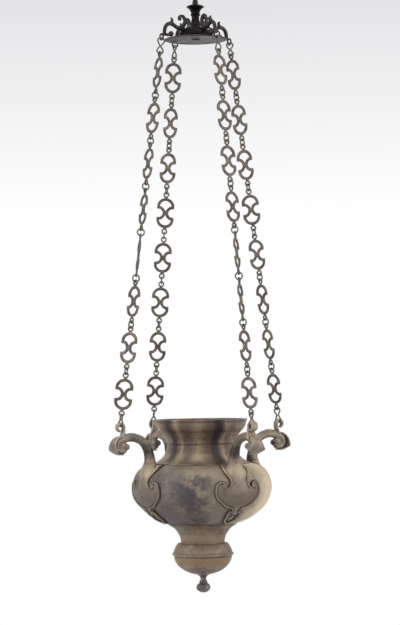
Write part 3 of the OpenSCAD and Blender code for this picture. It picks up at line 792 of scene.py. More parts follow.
COLLAR = Bronze(
    "aged brass collar", (106, 90, 75), (84, 70, 60), (148, 130, 108), (182, 164, 134), (56, 44, 40),
    (152, 138, 116), cloud_scale=24.0, pale_amount=0.45, lathe=0.6, skin=0.25, wear=0.7,
    # The belt at -66.6 is a painted shadow in the gap over the belly; the dark belts at -4.2, -18.4 and -37
    # are dark lines under the lip, at the step and in the scribed groove.
    belts=(
        Belt(-4.2, 1.1, (52, 42, 38), 0.7), Belt(-9, 8, (138, 117, 100), 0.6),
        Belt(-18.4, 1.0, (64, 52, 46), 0.7), Belt(-37, 1.1, (74, 60, 52), 0.5),
        Belt(-57, 8, (170, 149, 123), 0.8), Belt(-66.6, 1.3, (40, 32, 30), 0.9),
    ),
    # The runs from 190 to 283 degrees are painted reflections on the satin flare: dark streaks, and a pale
    # one at 204; those at 20 and 100 are dark tone on the back.
    runs=(
        Run(254, 21, (78, 62, 56), 0.8, 45.0), Run(262, 11, (40, 27, 28), 0.97, 45.0),
        Run(283, 7, (80, 64, 57), 0.6), Run(190, 11, (56, 43, 41), 0.9),
        Run(204, 5, (158, 139, 116), 0.6), Run(217, 13, (84, 70, 61), 0.75),
        Run(20, 14, (70, 56, 50), 0.7), Run(100, 12, (66, 53, 48), 0.7),
    ),
)
NECK = Bronze(
    "brown lower neck", (120, 104, 90), (100, 87, 78), (140, 122, 102), (176, 156, 126), (54, 44, 39),
    (142, 130, 110), cloud_scale=26.0, lathe=0.5, skin=0.25, wear=0.6,
    belts=(
        Belt(-157, 1.4, (50, 42, 38), 0.8), Belt(-178, 8, (142, 120, 96), 0.65),
        Belt(-185, 0.9, (54, 44, 38), 0.7),
    ),
)
BELLY = Bronze(
    "tarnished belly with painted light", (97, 87, 80), (70, 64, 66), (148, 134, 113), (178, 160, 130), (52, 43, 40),
    (158, 144, 122), cloud_scale=24.0, cloud_amount=0.62, pale_amount=0.44, dustiness=0.45, skin=0.45,
    skin_scale=60.0,
    # The belt at -67 is a painted shadow in the gap under the collar's foot; the pale belt at -73 is partly
    # tone, partly a painted highlight on the up-facing shoulder; -69.4 and -71.3 draw the incised lines in
    # colour.
    belts=(
        Belt(-67, 1.3, (40, 33, 31), 0.95), Belt(-73, 8, (150, 136, 117), 0.4, 34.0),
        Belt(-69.4, 0.4, (84, 70, 60), 0.7), Belt(-71.3, 0.4, (84, 70, 60), 0.6),
        Belt(-142, 12, (76, 68, 65), 0.6, 30.0), Belt(-154, 1.0, (50, 42, 38), 0.7),
    ),
    # The runs are partly tone, partly painted light falling from the right: darker at 206 degrees on the
    # left, a painted highlight at 312 on the right; those at 40 and 120 are tone on the back.
    runs=(
        Run(206, 24, (86, 79, 77), 0.65, 34.0), Run(252, 12, (134, 121, 105), 0.6, 40.0),
        Run(312, 34, (210, 192, 163), 0.92, 34.0), Run(333, 9, (112, 101, 95), 0.6, 50.0),
        Run(40, 28, (126, 114, 102), 0.6, 34.0), Run(120, 26, (92, 86, 86), 0.6, 34.0),
    ),
)
BOWL = Bronze(
    "olive brass bowl", (132, 116, 101), (108, 94, 84), (152, 136, 116), (186, 164, 126), (54, 44, 36),
    (148, 134, 110), cloud_scale=30.0, lathe=0.6, skin=0.3, wear=0.7,
    belts=(
        Belt(-185.4, 0.9, (56, 46, 40), 0.7), Belt(-212, 8, (132, 108, 78), 0.75),
        Belt(-204.9, 0.8, (66, 54, 44), 0.8), Belt(-227, 6, (98, 84, 77), 0.75),
    ),
)
IRON = Bronze(
    "dark iron", (104, 98, 96), (80, 75, 74), (126, 120, 114), (158, 151, 144), (42, 36, 32),
    (124, 116, 106), cloud_scale=70.0, metallic=0.5, roughness=0.42, skin_scale=140.0,
)


class Slot(Enum):
    """The record's material slots."""

    DARK_BRONZE = "dark_bronze"
    GREY_BRONZE = "grey_bronze"
    CHAIN_BRONZE = "chain_bronze"
    ARM_BRONZE = "arm_bronze"
    AGED_BRASS = "aged_brass"
    OLIVE_BRASS = "olive_brass"
    IRON = "iron"


def add_piece(name: str, mesh: Mesh, finish: Bronze, slot: Slot, body: str, *nodes: str) -> Object:
    """Adds a finished mesh to the lamp.

    Args:
        name: The piece's name.
        mesh: Its mesh, already in place.
        finish: What it is finished with.
        slot: The record's slot for that finish. Not used.
        body: The frame's body that carries it.
        nodes: The frame's nodes that it stands for.

    Returns:
        The piece.
    """
    made = placed(name, mesh)
    mesh.materials.append(finish.material())
    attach(made, body)
    if nodes:
        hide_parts(*nodes)
    LOG.info("%s: %d faces, rides on %s", name, len(mesh.polygons), body)
    return made


def dress_nodes(finish: Bronze, *nodes: str) -> None:
    """Gives nodes that keep their own shape a better finish.

    Args:
        finish: What they are finished with.
        nodes: The frame's nodes.
    """
    for node in nodes:
        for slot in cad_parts[node].material_slots:
            slot.material = finish.material()
        LOG.info("%s: keeps its own shape, finished as %s", node, finish.name)


# The ring, the rod and the canopy

# A bracket's eye stands so far from the lamp's axis and from the dish's top, in millimetres.
HANG_AT: Point = (60.0, -2.2)


@dataclass
class Suspension:
    """The ring that the lamp hangs from and the eyed rod under it. Millimetres."""

    ring_d: float = 44.0
    ring_wire: float = 5.0
    weld_at: float = 215.0
    rod_r: float = 4.5
    rod_eye_r: float = 4.6
    rod_eye_bar: float = 4.0
    peened_r: float = 5.4

    def ring(self) -> None:
        """Makes the forged ring, whose scarfed joint shows as a slight swelling low on one side."""
        line = circle(self.ring_d / 2, -(self.ring_d - self.ring_wire) / 2, 96)
        half = self.ring_wire / 2
        welds = [math.exp(-(((360 * i / 96 - self.weld_at) / 9) ** 2)) for i in range(96)]
        sizes = [(half - 0.06, half + 0.25 * weld) for weld in welds]
        bm = bmesh.new()
        swept(bm, ROUND, flat_places([Vector((x, 0, z)) for x, z in line], ALONG_Y, sizes, True), True)
        mesh = to_mesh(bm, "hanging_ring", crease=80)
        add_piece("hanging_ring", mesh, GEAR, Slot.DARK_BRONZE, "suspension_ring", "suspension_ring")

    def rod(self) -> None:
        """Makes the rod, forged out to an eye at its top and peened over at its foot."""
        bm = bmesh.new()
        half, r = self.rod_eye_bar / 2, self.rod_r
        mean = self.rod_eye_r + half
        eye_z = height("hanging_rod") - mean - half
        eye = [Vector((0, y, z)) for y, z in circle(mean, eye_z, 48)]
        swept(bm, ROUND, flat_places(eye, ALONG_X, [(half, half)] * 48, True), True)
        top, foot = eye_z - self.rod_eye_r, height("hanging_rod", False)
        stations = [
            (top - 0.6, 2.3), (top - 2, 3.4), (top - 5, 4.1), (top - 8, r), (top - 30, r), (foot + 1.2, r),
            (foot + 0.9, self.peened_r), (foot + 0.4, self.peened_r), (foot + 0.05, r - 0.4),
        ]
        line = [Vector((0, 0, z)) for z, _ in stations]
        swept(bm, ROUND, flat_places(line, ALONG_Y, [(s, s) for _, s in stations]))
        mesh = to_mesh(cast(bm, grain=0.55, rounds=1, keep=0.6), "rod", crease=60)
        add_piece("rod", mesh, ROD, Slot.DARK_BRONZE, "canopy", "hanging_rod")

    def build(self) -> None:
        """Makes both pieces."""
        self.ring()
        self.rod()


@dataclass
class Canopy:
    """The crown, its dish and the four scroll brackets that the chains hang from.

    Millimetres. Profiles give radius and height, from the crown's top or the dish's. Stations give radius,
    height over the dish, half depth and half width.
    """

    crown_h: float = 47.0
    eye_mean: float = 4.65
    eye_half: Point = (1.25, 1.3)
    crown: tuple[Point, ...] = (
        *soft([(4.6, 3.6), (7, 3.1), (10, 2.2), (12.6, 0.9), (13.5, 0.2)], 3),
        *soft([(13.4, -0.5), (11.4, -2), (8.9, -4.2), (7.2, -7), (6.3, -10.2)], 3),
        *soft([(6.5, -10.6), (7.4, -11.6), (7.4, -12.6), (6.5, -13.6)], 3),
        *soft([(5.9, -13.9), (5.7, -17), (6.2, -21), (8.2, -25.6), (12, -29.6), (17.4, -32.6)], 4),
        *soft([(18.4, -33), (19.4, -33.2), (20, -34)], 2),
        *soft([(20.4, -34.4), (23.6, -36.6), (25.8, -39.8), (26.8, -43.4), (27, -47)], 3),
        (4.6, -47),
    )
    dish: tuple[Point, ...] = (
        (4.6, 0), (27, 0), *soft([(29, 0), (35, -0.2), (41, -0.8), (45.6, -1.4)], 4),
        *soft([(46.5, -1.7), (47, -2.3), (46.9, -3.1), (46.4, -3.5), (45.6, -3.55)], 3),
        *soft([(45, -3.3), (43.4, -3.1), (39, -2.7), (33, -2.2), (26, -2)], 3),
        (17.2, -2), (16.8, -1.75), (16.4, -1.75), (16, -2), (4.6, -2),
    )
    scroll: tuple[Station, ...] = (
        (55, 0.4, 2.9, 2.6), (54.8, 5, 2.7, 2.6), (53.9, 11, 2.7, 2.7), (51, 16, 2.8, 2.7),
        (45.8, 18.8, 3, 2.8), (40.4, 18, 3, 2.8), (35.4, 15, 2.9, 2.7), (30.4, 13.4, 3.1, 2.8),
        (25.2, 14.4, 3.3, 2.9), (20.8, 17.8, 3.1, 2.9), (18.6, 22.6, 2.8, 2.7), (19.2, 27.6, 2.5, 2.7),
        (22.6, 31.2, 2.3, 2.6), (27, 31, 2.1, 2.5), (29.4, 27.8, 1.8, 2.3), (27.8, 25.6, 1.6, 2.1),
    )
    leaf: tuple[Station, ...] = (
        (44.6, 18.6, 2.5, 2.3), (42.2, 21, 2.5, 2.3), (41.2, 23.8, 2.1, 2.1), (42, 26.4, 1.6, 1.8),
        (43.8, 27.6, 1, 1.2),
    )
    foot: tuple[Station, ...] = ((27.4, 13.6, 2.9, 2.7), (23, 11.4, 2.9, 2.7), (20, 10.6, 2.8, 2.7))
    lug: tuple[Station, ...] = (
        (42.6, 1.2, 1.9, 2.3), (50, 1.6, 2.1, 2.5), (55.5, 1.8, 2.2, 2.5), (58.4, 1.4, 2, 2.4),
    )
    balls: tuple[tuple[float, float, float], ...] = ((27.6, 26.6, 2.7), (43.4, 3.6, 4.1))

    def crown_and_dish(self) -> None:
        """Makes the turned crown and the shallow dish under it."""
        bm = bmesh.new()
        turned(bm, [(r, DISH_Z + self.crown_h + z) for r, z in self.crown], steps=96, closed=True)
        add_piece("crown", to_mesh(bm, "crown", crease=32), DARK, Slot.DARK_BRONZE, "canopy", "canopy_crown")
        bm = bmesh.new()
        turned(bm, [(r, DISH_Z + z) for r, z in self.dish], steps=120, closed=True)
        rough(bm, amount=0.12, grain=12.0)
        add_piece("dish", to_mesh(bm, "dish", crease=30), DISH, Slot.GREY_BRONZE, "canopy", "canopy_dish")

    def bracket(self) -> Shape:
        """Makes one bracket on +X: the S scroll, its leaf, its balls and the chain eye."""
        bm = bmesh.new()
        for stations in (self.scroll, self.leaf, self.foot, self.lug):
            radial_bar(bm, BAR, stations, DISH_Z, 3)
        for r, z, size in self.balls:
            ball(bm, Matrix.Translation((r, 0, DISH_Z + z)), size)
        reach, hang = HANG_AT
        ring = [Vector((reach, y, z)) for y, z in circle(self.eye_mean, DISH_Z + hang, 40)]
        swept(bm, ROUND, flat_places(ring, ALONG_X, [self.eye_half] * 40, True), True)
        return cast(bm, grain=0.5, rounds=2, keep=0.42)

    def build(self) -> None:
        """Makes the crown, the dish and the brackets, which count as one piece."""
        self.crown_and_dish()
        pattern = stored(self.bracket(), "bracket_pattern")
        bm = bmesh.new()
        for side in Side:
            before = len(bm.verts)
            bm.from_mesh(pattern)
            bm.verts.ensure_lookup_table()
            bmesh.ops.transform(bm, matrix=side.turn, verts=bm.verts[before:])
        rough(bm, amount=0.18, grain=3.0)
        bpy.data.meshes.remove(pattern)
        mesh = to_mesh(bm, "brackets", crease=70)
        add_piece("brackets", mesh, GEAR, Slot.DARK_BRONZE, "canopy", "canopy_brackets")
        dress_nodes(WASHER, "canopy_washer")


# The chains


@dataclass
class Link:
    """One pierced link: two arches, a waist between round notches and an eye at each end. Millimetres."""

    width: float = 27.0
    height: float = 46.6
    bar: float = 4.7
    thick: float = 3.3
    notch_r: float = 6.2
    waist: float = 9.0
    eye_r: float = 2.4
    eye_bar: float = 2.4
    eye_thick: float = 2.8
    eye_span: float = 56.5
    root_bar: float = 4.0
    knot: Point = (4.3, 3.4)

    def bars(
        self, bm: Shape, line: Sequence[Point], bar: float, thick: float, closed: bool = False
    ) -> None:
        """Sweeps a soft-edged bar along a flat line."""
        flat = [Vector((x, y, 0)) for x, y in line]
        places = flat_places(flat, ALONG_Z, [(bar / 2, thick / 2)] * len(line), closed)
        swept(bm, BAR, places, closed)

    def pattern(self) -> Mesh:
        """Casts one link about the origin, its chain line along Y.

        Returns:
            The mesh that all links are copied from, in millimetres.
        """
        bm = bmesh.new()
        outer = self.width / 2
        mean = outer - self.bar / 2
        low, high = self.notch_r + 0.2, self.height / 2 - outer
        around = self.notch_r + self.bar / 2
        notch = arc((self.waist / 2 + self.notch_r, 0), around, 90, 270, 22)
        for s in (-1, 1):
            hook = [(outer - 0.3, around), *notch, (outer - 0.3, -around)]
            self.bars(bm, [(s * x, y) for x, y in hook], self.bar, self.thick)
            arch = [(mean, low), *arc((0, high), mean, 0, 180, 36), (-mean, low)]
            self.bars(bm, [(x, s * y) for x, y in arch], self.bar, self.thick)
            eye = arc((0, s * self.eye_span / 2), self.eye_r + self.eye_bar / 2, 0, 350, 35)
            self.bars(bm, eye, self.eye_bar, self.eye_thick, True)
            root = [(0, s * (self.height / 2 - 2)), (0, s * (self.height / 2 + 1.2))]
            self.bars(bm, root, self.root_bar, self.eye_thick)
        ball(bm, Matrix.Diagonal((*self.knot, self.thick / 2, 1)))
        return stored(cast(bm, grain=0.55, rounds=2, keep=0.42), "link_pattern")


@dataclass
class Chain:
    """One chain of eight links with wire rings between them and a twisted hook at each end.

    Millimetres and degrees. Each link has its own turn, as it hangs in the photograph.
    """

    side: Side
    turns: tuple[int, ...]
    slack: float
    tilt: float = 7.84645
    first_at: float = 51.65
    pitch: float = 68.9
    length: float = 586.0
    ring_d: float = 10.4
    ring_wire: float = 2.3
    hook_h: float = 21.0
    hook_wire: float = 2.4
    hook_top: float = 1.5
    hook_foot: float = 1.9

    @property
    def hung(self) -> Matrix:
        """The place of the chain's own frame: z runs down the chain and x points inward."""
        reach, hang = HANG_AT
        tilted = Matrix.Rotation(math.radians(180 - self.tilt), 4, "Y")
        return self.side.turn @ Matrix.Translation((reach, 0, DISH_Z + hang)) @ tilted

    def place(self, count: float, turn: float) -> Matrix:
        """The place so many links down the chain, turned about its line."""
        down = Matrix.Translation((0, 0, self.first_at + self.slack + count * self.pitch))
        return self.hung @ down @ Matrix.Rotation(math.radians(-turn), 4, "Z")

    def wire(self, word: str, bm: Shape) -> None:
        """Adds the chain's rings or its hooks, which ride on the chain itself."""
        name = f"{self.side.word}_{word}"
        body = f"{self.side.word}_chain"
        add_piece(f"{name}_wire", to_mesh(bm, name, 60), CHAIN, Slot.CHAIN_BRONZE, body, name)

    def links(self, pattern: Mesh) -> None:
        """Hangs copies of the cast link, each worn in its own way."""
        upright = Matrix.Rotation(math.radians(90), 4, "Z") @ Matrix.Rotation(math.radians(90), 4, "X")
        for k, turn in enumerate(self.turns):
            name = f"{self.side.word}_link_{k + 1}"
            bm = bmesh.new()
            bm.from_mesh(pattern)
            rough(bm, amount=0.3, grain=6.0, seed=self.side.value / 90 + k)
            bmesh.ops.transform(bm, matrix=self.place(k, turn) @ upright, verts=bm.verts)
            add_piece(f"{name}_cast", to_mesh(bm, name, 75), CHAIN, Slot.CHAIN_BRONZE, name, name)

    def rings(self) -> None:
        """Bends the wire rings between the links, each with its butt joint to one side."""
        bm = bmesh.new()
        for k, (above, below) in enumerate(zip(self.turns, self.turns[1:])):
            place = self.place(k + 0.5, (above + below) / 2)
            start = 8 + 35 * (k % 3)
            bent = arc((0, 0), self.ring_d / 2, start, start + 355, 44)
            line = [place @ Vector((x, 0, z)) for x, z in bent]
            swept(bm, ROUND, wire_places(line, self.ring_wire / 2, False))
        self.wire("rings", bm)

    def hook(self, bm: Shape, top: float, foot: float, first: float, last: float) -> None:
        """Bends one wire into two loops that cross between them.

        Args:
            bm: The mesh that takes the hook.
            top: How far down the chain it starts.
            foot: How far down the chain it ends.
            first: The turn of its upper loop, in degrees.
            last: The turn of its lower loop, in degrees.
        """
        line = []
        half, steps = (foot - top) / 2, 96
        for i in range(steps):
            t = math.tau * i / steps
            down = -math.cos(t)
            across = 0.45 * self.hook_h * math.sin(2 * t) * 0.52 * (1.15 - 0.15 * down * down)
            lift = 0.56 * self.hook_wire * math.sin(t) * (1 - down * down)
            share = min(max((down + 0.45) / 0.9, 0.0), 1.0)
            turn = math.radians(first + (last - first) * share * share * (3 - 2 * share))
            x = across * math.cos(turn) + lift * math.sin(turn)
            y = -across * math.sin(turn) + lift * math.cos(turn)
            line.append(self.hung @ Vector((x, y, top + half + down * half)))
        swept(bm, ROUND, wire_places(line, self.hook_wire / 2, True), True)

    def hooks(self) -> None:
        """Makes the hook at the bracket and the one at the arm."""
        bm = bmesh.new()
        low = self.length - self.hook_foot
        self.hook(bm, self.hook_top, self.hook_top + self.hook_h + self.slack, 0.0, self.turns[0] / 2)
        self.hook(bm, low - self.hook_h + self.slack, low, float(self.turns[-1]), 90.0)
        self.wire("hooks", bm)

    def build(self, pattern: Mesh) -> None:
        """Makes the whole chain from the cast link."""
        self.links(pattern)
        self.rings()
        self.hooks()


# The vessel and its arms


class Vessel:
    """The turned and raised parts of the vase.

    Millimetres. Each profile gives radius and height from the collar's rim, outside first.
    """

    @staticmethod
    def collar() -> list[Point]:
        """The flared collar's section, with its rolled lip, step, scribed lines and foot."""
        outside = [
            (67.2, -0.3), *soft([(68.2, -0.05), (69.0, -0.7), (69.0, -2.3), (68.2, -3.3)], 3), (67.6, -3.6),
            *soft([(67.3, -6.5), (65.9, -11.1), (63.2, -15.5), (61.6, -17.3)]), (60.7, -17.8), (60.3, -18.5),
            *soft([(59.8, -19.1), (57, -22.6), (53.9, -27.3), (51.9, -31.7), (51.2, -35.5)]),
            (50.7, -36), (50.5, -36.5), (50.7, -37), (51.1, -37.3), (50.7, -37.8), (50.6, -38.2), (51, -38.7),
            *soft([(51.1, -39.1), (51.9, -43.6), (54, -49.6), (57.8, -55.6), (62.8, -60.5), (68.6, -64.1)]),
            (70.6, -64.7), (71.6, -65.3), (72, -66.1), (71.8, -67),
        ]
        throat = [
            (57.6, -60.5), (53.4, -54.5), (50.6, -47.1), (49, -39.1), (49.8, -31.1), (53, -24.1),
            (57.8, -18.1), (62.6, -12.1),
        ]
        mouth = [(64.2, -7.1), (65.4, -5.1), (65.5, -0.7), (66.3, -0.1)]
        return [*outside, (60, -67), (60, -65.1), *soft(throat), *mouth]

    @staticmethod
    def belly_line() -> list[Point]:
        """The belly's outer profile, from its opening to its flat underside."""
        points = [
            (68.5, -67), (76, -67.1), (81, -68.2), (88.5, -71.3), (95, -76.1), (99.9, -82.9),
            (102.8, -91.1), (103.5, -100.1), (102.8, -110.1), (99.8, -120.1), (94.2, -129.3),
            (85.6, -138.3), (74.6, -146.3), (62.6, -152.7),
        ]
        return soft(points, 5)

    @classmethod
    def belly_radius(cls, z: float) -> float:
        """The belly's outer radius at a height, read off its profile."""
        line = cls.belly_line()
        if z >= line[0][1]:
            return line[0][0]
        for (ra, za), (rb, zb) in zip(line, line[1:]):
            if zb <= z <= za and za > zb:
                return ra + (rb - ra) * (za - z) / (za - zb)
        return line[-1][0]

    @classmethod
    def belly(cls) -> list[Point]:
        """The belly's section: a thin wall, an inturned opening and scribed lines underneath."""
        under = [
            *cls.belly_line(), (59.6, -154), (59, -153.7), (58.4, -154.1), (55, -155.4), (52.4, -155.7),
            (51.6, -156), (4.1, -156),
        ]
        hollow = [
            (60, -150.3), (72, -144.1), (83, -135.9), (91.4, -127.1), (96.8, -118.5), (99.6, -109.1),
            (100.4, -100.1), (99.6, -92.1), (96.8, -84.5), (91.4, -77.7), (84, -72.7), (76, -70.3),
            (70.4, -70),
        ]
        lip = [(66.4, -70), (66, -69.6), (66, -67.3), (66.3, -67)]
        return [*under, (4.1, -153), (50, -152.8), *soft(hollow), *lip]

    @staticmethod
    def neck() -> list[Point]:
        """The lower neck's section, a cove that narrows to a fillet on the bowl."""
        cove = [
            (49.4, -158.5), (45.6, -160.9), (41.4, -164.1), (37.9, -168.5), (35.2, -173.5),
            (33.5, -178.5), (32.6, -183.1),
        ]
        shoulder = [(51.4, -156), (51.8, -156.6), (51.2, -157.3), (50, -157.7)]
        throat = [(30, -181.1), (31.6, -174.1), (35, -168.1), (39.6, -163.5), (44.8, -160.1)]
        outside = [*shoulder, *soft(cove), (32.9, -183.7), (33.6, -184.1)]
        floor = [(46, -158.6), (4.1, -158.6), (4.1, -156)]
        return [*outside, (33.7, -185), (30, -185), *soft(throat, 3), *floor]

    @staticmethod
    def bowl() -> list[Point]:
        """The lower bowl's section, with the sharp bead round its widest line and the groove under it."""
        under = [
            (43.2, -206.7), (41.9, -211.3), (38.6, -216.9), (34, -221.7), (28, -225.9), (20.5, -229.3),
            (13, -231.5),
        ]
        outside = [
            (34, -185), (36.2, -185.1),
            *soft([(37.4, -185.5), (39.6, -188.1), (41.9, -192.5), (43.6, -196.7), (44.2, -198.7)], 4),
            *soft([(44.6, -199.3), (45.9, -200.7), (46, -201.7), (45.2, -203.1), (44, -203.9)], 3),
            (43.3, -204.4), (43, -205.1), (43.3, -205.8), *soft(under, 4), (9.4, -232.2), (9, -232.5),
            (4.1, -232.5),
        ]
        hollow = [
            (13, -228.7), (22, -225.5), (31, -219.7), (37.6, -212.1), (40.4, -204.1), (40.2, -197.1),
            (37, -189.7),
        ]
        inside = [(4.1, -229.9), *soft(hollow, 3), (33.6, -186.9), (31, -186.7), (30.4, -185)]
        return outside + inside

    @staticmethod
    def finial() -> list[Point]:
        """The finial's profile: a flange, a waisted stem with a fillet, a flattened ball and the bore."""
        z = -232.5
        turns = [math.radians(a) for a in range(56, -90, -9)]
        bulb = [(10.5 * math.cos(a), z - 18.98 + 7.9 * math.sin(a)) for a in turns]
        stem = soft([(7.5, z - 1.4), (5.9, z - 2.2), (4.7, z - 4.2), (4.3, z - 6.6), (4.9, z - 8.9)], 3)
        fillet = soft([(5.6, z - 9.3), (6.3, z - 10), (6.1, z - 11), (5.7, z - 11.6)], 3)
        bore = [(0, z - 7), (3.2, z - 7)]
        return [(3.2, z), (8, z), (8.1, z - 0.7), *stem, *fillet, *bulb, (0, z - 26.88), *bore]

    def build(self) -> None:
        """Makes the vase and finishes the small parts that hold it together."""
        dents, dimples = (0.7, 26.0), (0.18, 8.0, 2.0)
        for node, way, outline, steps, skins, crease, finish, slot in (
            ("collar", "turned", self.collar(), 144, [(0.15, 14.0)], 28, COLLAR, Slot.AGED_BRASS),
            ("belly", "raised", self.belly(), 160, [dents, dimples], 28, BELLY, Slot.GREY_BRONZE),
            ("lower_neck", "turned", self.neck(), 128, [(0.12, 10.0)], 28, NECK, Slot.AGED_BRASS),
            ("lower_bowl", "turned", self.bowl(), 128, [(0.16, 9.0)], 28, BOWL, Slot.OLIVE_BRASS),
            ("finial", "turned", self.finial(), 72, [(0.08, 4.0)], 32, IRON, Slot.GREY_BRONZE),
        ):
            bm = bmesh.new()
            walled = node != "finial"
            turned(bm, [(r, RIM_Z + z) for r, z in outline], steps, walled)
            if not walled:
                bmesh.ops.holes_fill(bm, edges=bm.edges)
            for skin in skins:
                rough(bm, *skin)
            name = f"{node}_{way}"
            add_piece(name, to_mesh(bm, name, crease), finish, slot, "vessel", node)
        dress_nodes(IRON, "arm_screws", "tie_rod", "tie_nut")


@dataclass
class ScrollArm:
    """One arm: an S scroll that curls under, a leaf round its turn, a curled strap and a bordered plate.

    Millimetres, with heights from the rim. Stations give radius, height, half depth and half width, and those
    of a curl give an angle and a radius about its centre first. Lines on the plate give the way round
    the belly and the height.
    """

    eye_at: Point = (140.0, -10.0)
    eye_mean: float = 5.4
    plate_thick: float = 2.2
    volute_at: Point = (140.0, -36.9)
    cores: tuple[Station, ...] = ((-2.5, -0.5, 6.5, 4.4), (-9.2, -1.6, 5.2, 7.6))
    button_share: float = 0.42
    root: tuple[Station, ...] = (
        (95.5, -119, 4.2, 7), (96.8, -105, 8.8, 15), (96.6, -91, 10.4, 18.8), (94.2, -79, 10.8, 17),
        (91.6, -69.5, 10.2, 13), (90.2, -61, 9.3, 9.8), (91.6, -51, 8.5, 7.7), (95.2, -41, 8.0, 6.5),
        (101.8, -32.2, 7.4, 6.0), (112, -26.8, 7.0, 6.0), (124.5, -24.9, 6.9, 6.3),
    )
    curl: tuple[Station, ...] = (
        (82, 7.7, 6.3, 6.2), (48, 6.9, 5.5, 6), (12, 6.6, 5.0, 5.8), (-28, 6.9, 4.9, 5.8),
        (-66, 7.6, 5.1, 5.8), (-104, 8.3, 5.0, 5.6), (-138, 8.7, 4.6, 5.3), (-165, 8.4, 4.1, 5),
        (-188, 7.4, 3.7, 4.7), (-205, 6.1, 2.9, 4.2),
    )
    leaf: tuple[Station, ...] = (
        (104, 13.5, 0.7, 5.4), (92, 13.3, 1.1, 5.9), (75, 13.1, 1.3, 6.3), (52, 13, 1.4, 7),
        (28, 12.9, 1.5, 8.2), (6, 12.9, 1.5, 9.8), (-12, 12.9, 1.5, 12), (-24, 12.9, 1.5, 13.9),
        (-32, 12.9, 1.4, 14), (-40, 12.9, 1.4, 11.8), (-50, 12.9, 1.4, 9), (-62, 12.9, 1.3, 7.5),
        (-80, 12.9, 1.1, 6.6), (-104, 13, 0.9, 5.8),
    )
    shoulder: tuple[Point, ...] = (
        (16.4, -68.5), (19.6, -74.1), (18, -80.1), (14.8, -85.5), (13.4, -91.1), (14.6, -96.2),
        (18.4, -100.4),
    )
    ear: tuple[Point, ...] = (
        (21.4, -95.4), (24.6, -92.7), (30, -91.9), (34.6, -95), (36.4, -101.8), (36, -109),
        (33, -114.7), (28, -119.3), (23, -123.2), (18, -126), (12.6, -127.4), (8, -129), (6.2, -132.4),
    )
    drop: tuple[Point, ...] = (
        (9.4, -133), (10.3, -138), (8.6, -142.3), (8.8, -145.6), (5.8, -148.6), (2.4, -151), (0, -152),
    )
    tip: Point = (0.0, -154.1)
    vein: tuple[Point, ...] = ((1.2, -139), (4.6, -141.4), (5.2, -145), (2.6, -148))
    bosses: tuple[tuple[Point, float], ...] = (((24.8, -97.4), 3.5), ((6.4, -134.4), 2.0))

    def on_plate(self, line: Sequence[Point], lift: float) -> list[Matrix]:
        """Lays a flat drawing on the belly.

        Args:
            line: Points as distance along the belly and height.
            lift: How far outside the belly's skin it lies.

        Returns:
            A place for each point, its second axis square to the skin and its third along the line.
        """
        points, normals = [], []
        for y, z in line:
            r, up, down = (Vessel.belly_radius(z + d) for d in (0, 1.0, -1.0))
            slope = Vector((2.0, up - down, 0)).normalized()
            around = math.asin(max(-0.9, min(0.9, y / r)))
            out = Vector((math.cos(around), math.sin(around), 0))
            normal = (out * slope.x - ALONG_Z * slope.y).normalized()
            points.append(out * r + Vector((0, 0, RIM_Z + z)) + normal * lift)
            normals.append(normal)
        places = []
        for at, normal, along in zip(points, normals, directions(points)):
            across = normal.cross(along).normalized()
            places.append(standing(at, across, along.cross(across), along))
        return places

    def outline(self) -> list[Point]:
        """The plate's outline for one side, from its top to its tip."""
        return [
            *beside(soft(self.shoulder, 3), 1.5), *beside(soft(self.ear[1:12], 3), 1.5),
            *beside(soft(self.drop, 3), 1.2)[:-1],
        ]

    def plate(self) -> Shape:
        """Cuts the plate out of a shell that hugs the belly."""
        shell = bmesh.new()
        line = [(r, RIM_Z + z) for r, z in Vessel.belly_line() if r > 60]
        outer = [(r + self.plate_thick, z + 0.2) for r, z in line]
        turned(shell, outer + [(r - 0.8, z) for r, z in reversed(line)], 180, True)
        bmesh.ops.recalc_face_normals(shell, faces=shell.faces)
        half = self.outline()
        points = [*half, self.tip, *[(-y, z) for y, z in reversed(half)]]
        blank = bmesh.new()
        face = blank.faces.new([blank.verts.new((30, y, RIM_Z + z)) for y, z in points])
        grown = bmesh.ops.extrude_face_region(blank, geom=[face])["geom"]
        far = [g for g in grown if isinstance(g, bmesh.types.BMVert)]
        bmesh.ops.translate(blank, vec=(90, 0, 0), verts=far)
        bmesh.ops.triangulate(blank, faces=blank.faces)
        bmesh.ops.recalc_face_normals(blank, faces=blank.faces)
        mesh = stored(blank, "plate_blank")
        cutter = placed("plate_blank", mesh)
        cut = with_modifier(shell, "BOOLEAN", operation="INTERSECT", solver="EXACT", object=cutter)
        bpy.data.objects.remove(cutter)
        bpy.data.meshes.remove(mesh)
        return cut

    def laid(self, bm: Shape, line: Sequence[Point], lift: float, size: Point, index: int) -> None:
        """Lays a soft strip along a line on the plate, on both of its halves.

        Args:
            bm: The mesh that takes the strip.
            line: The line on the plate's right half.
            lift: How high over the belly's skin its middle lies.
            size: Its half width at its widest and its half height.
            index: Which of the arm's two finishes it takes.
        """
        first = len(bm.faces)
        last = len(line) - 1
        wide, high = size
        for s in (-1, 1):
            places = self.on_plate([(s * y, z) for y, z in line], lift)
            shares = [1 - 0.55 * abs(2 * i / last - 1) ** 6 for i in range(last + 1)]
            swept(bm, ROUND, [p @ Matrix.Diagonal((wide * t, high, 1, 1)) for p, t in zip(places, shares)])
        bm.faces.ensure_lookup_table()
        for face in bm.faces[first:]:
            face.material_index = index

    def border(self, bm: Shape) -> None:
        """Lays each scroll's raised bead on the plate, dark strips of painted groove shade beside it, and the
        round bosses with dark rings of painted shade.
        """
        thick = self.plate_thick
        for scroll in (self.shoulder, self.ear, self.drop):
            line = soft(scroll, 6)
            self.laid(bm, line, thick - 0.1, (1.5, 1.3), 0)
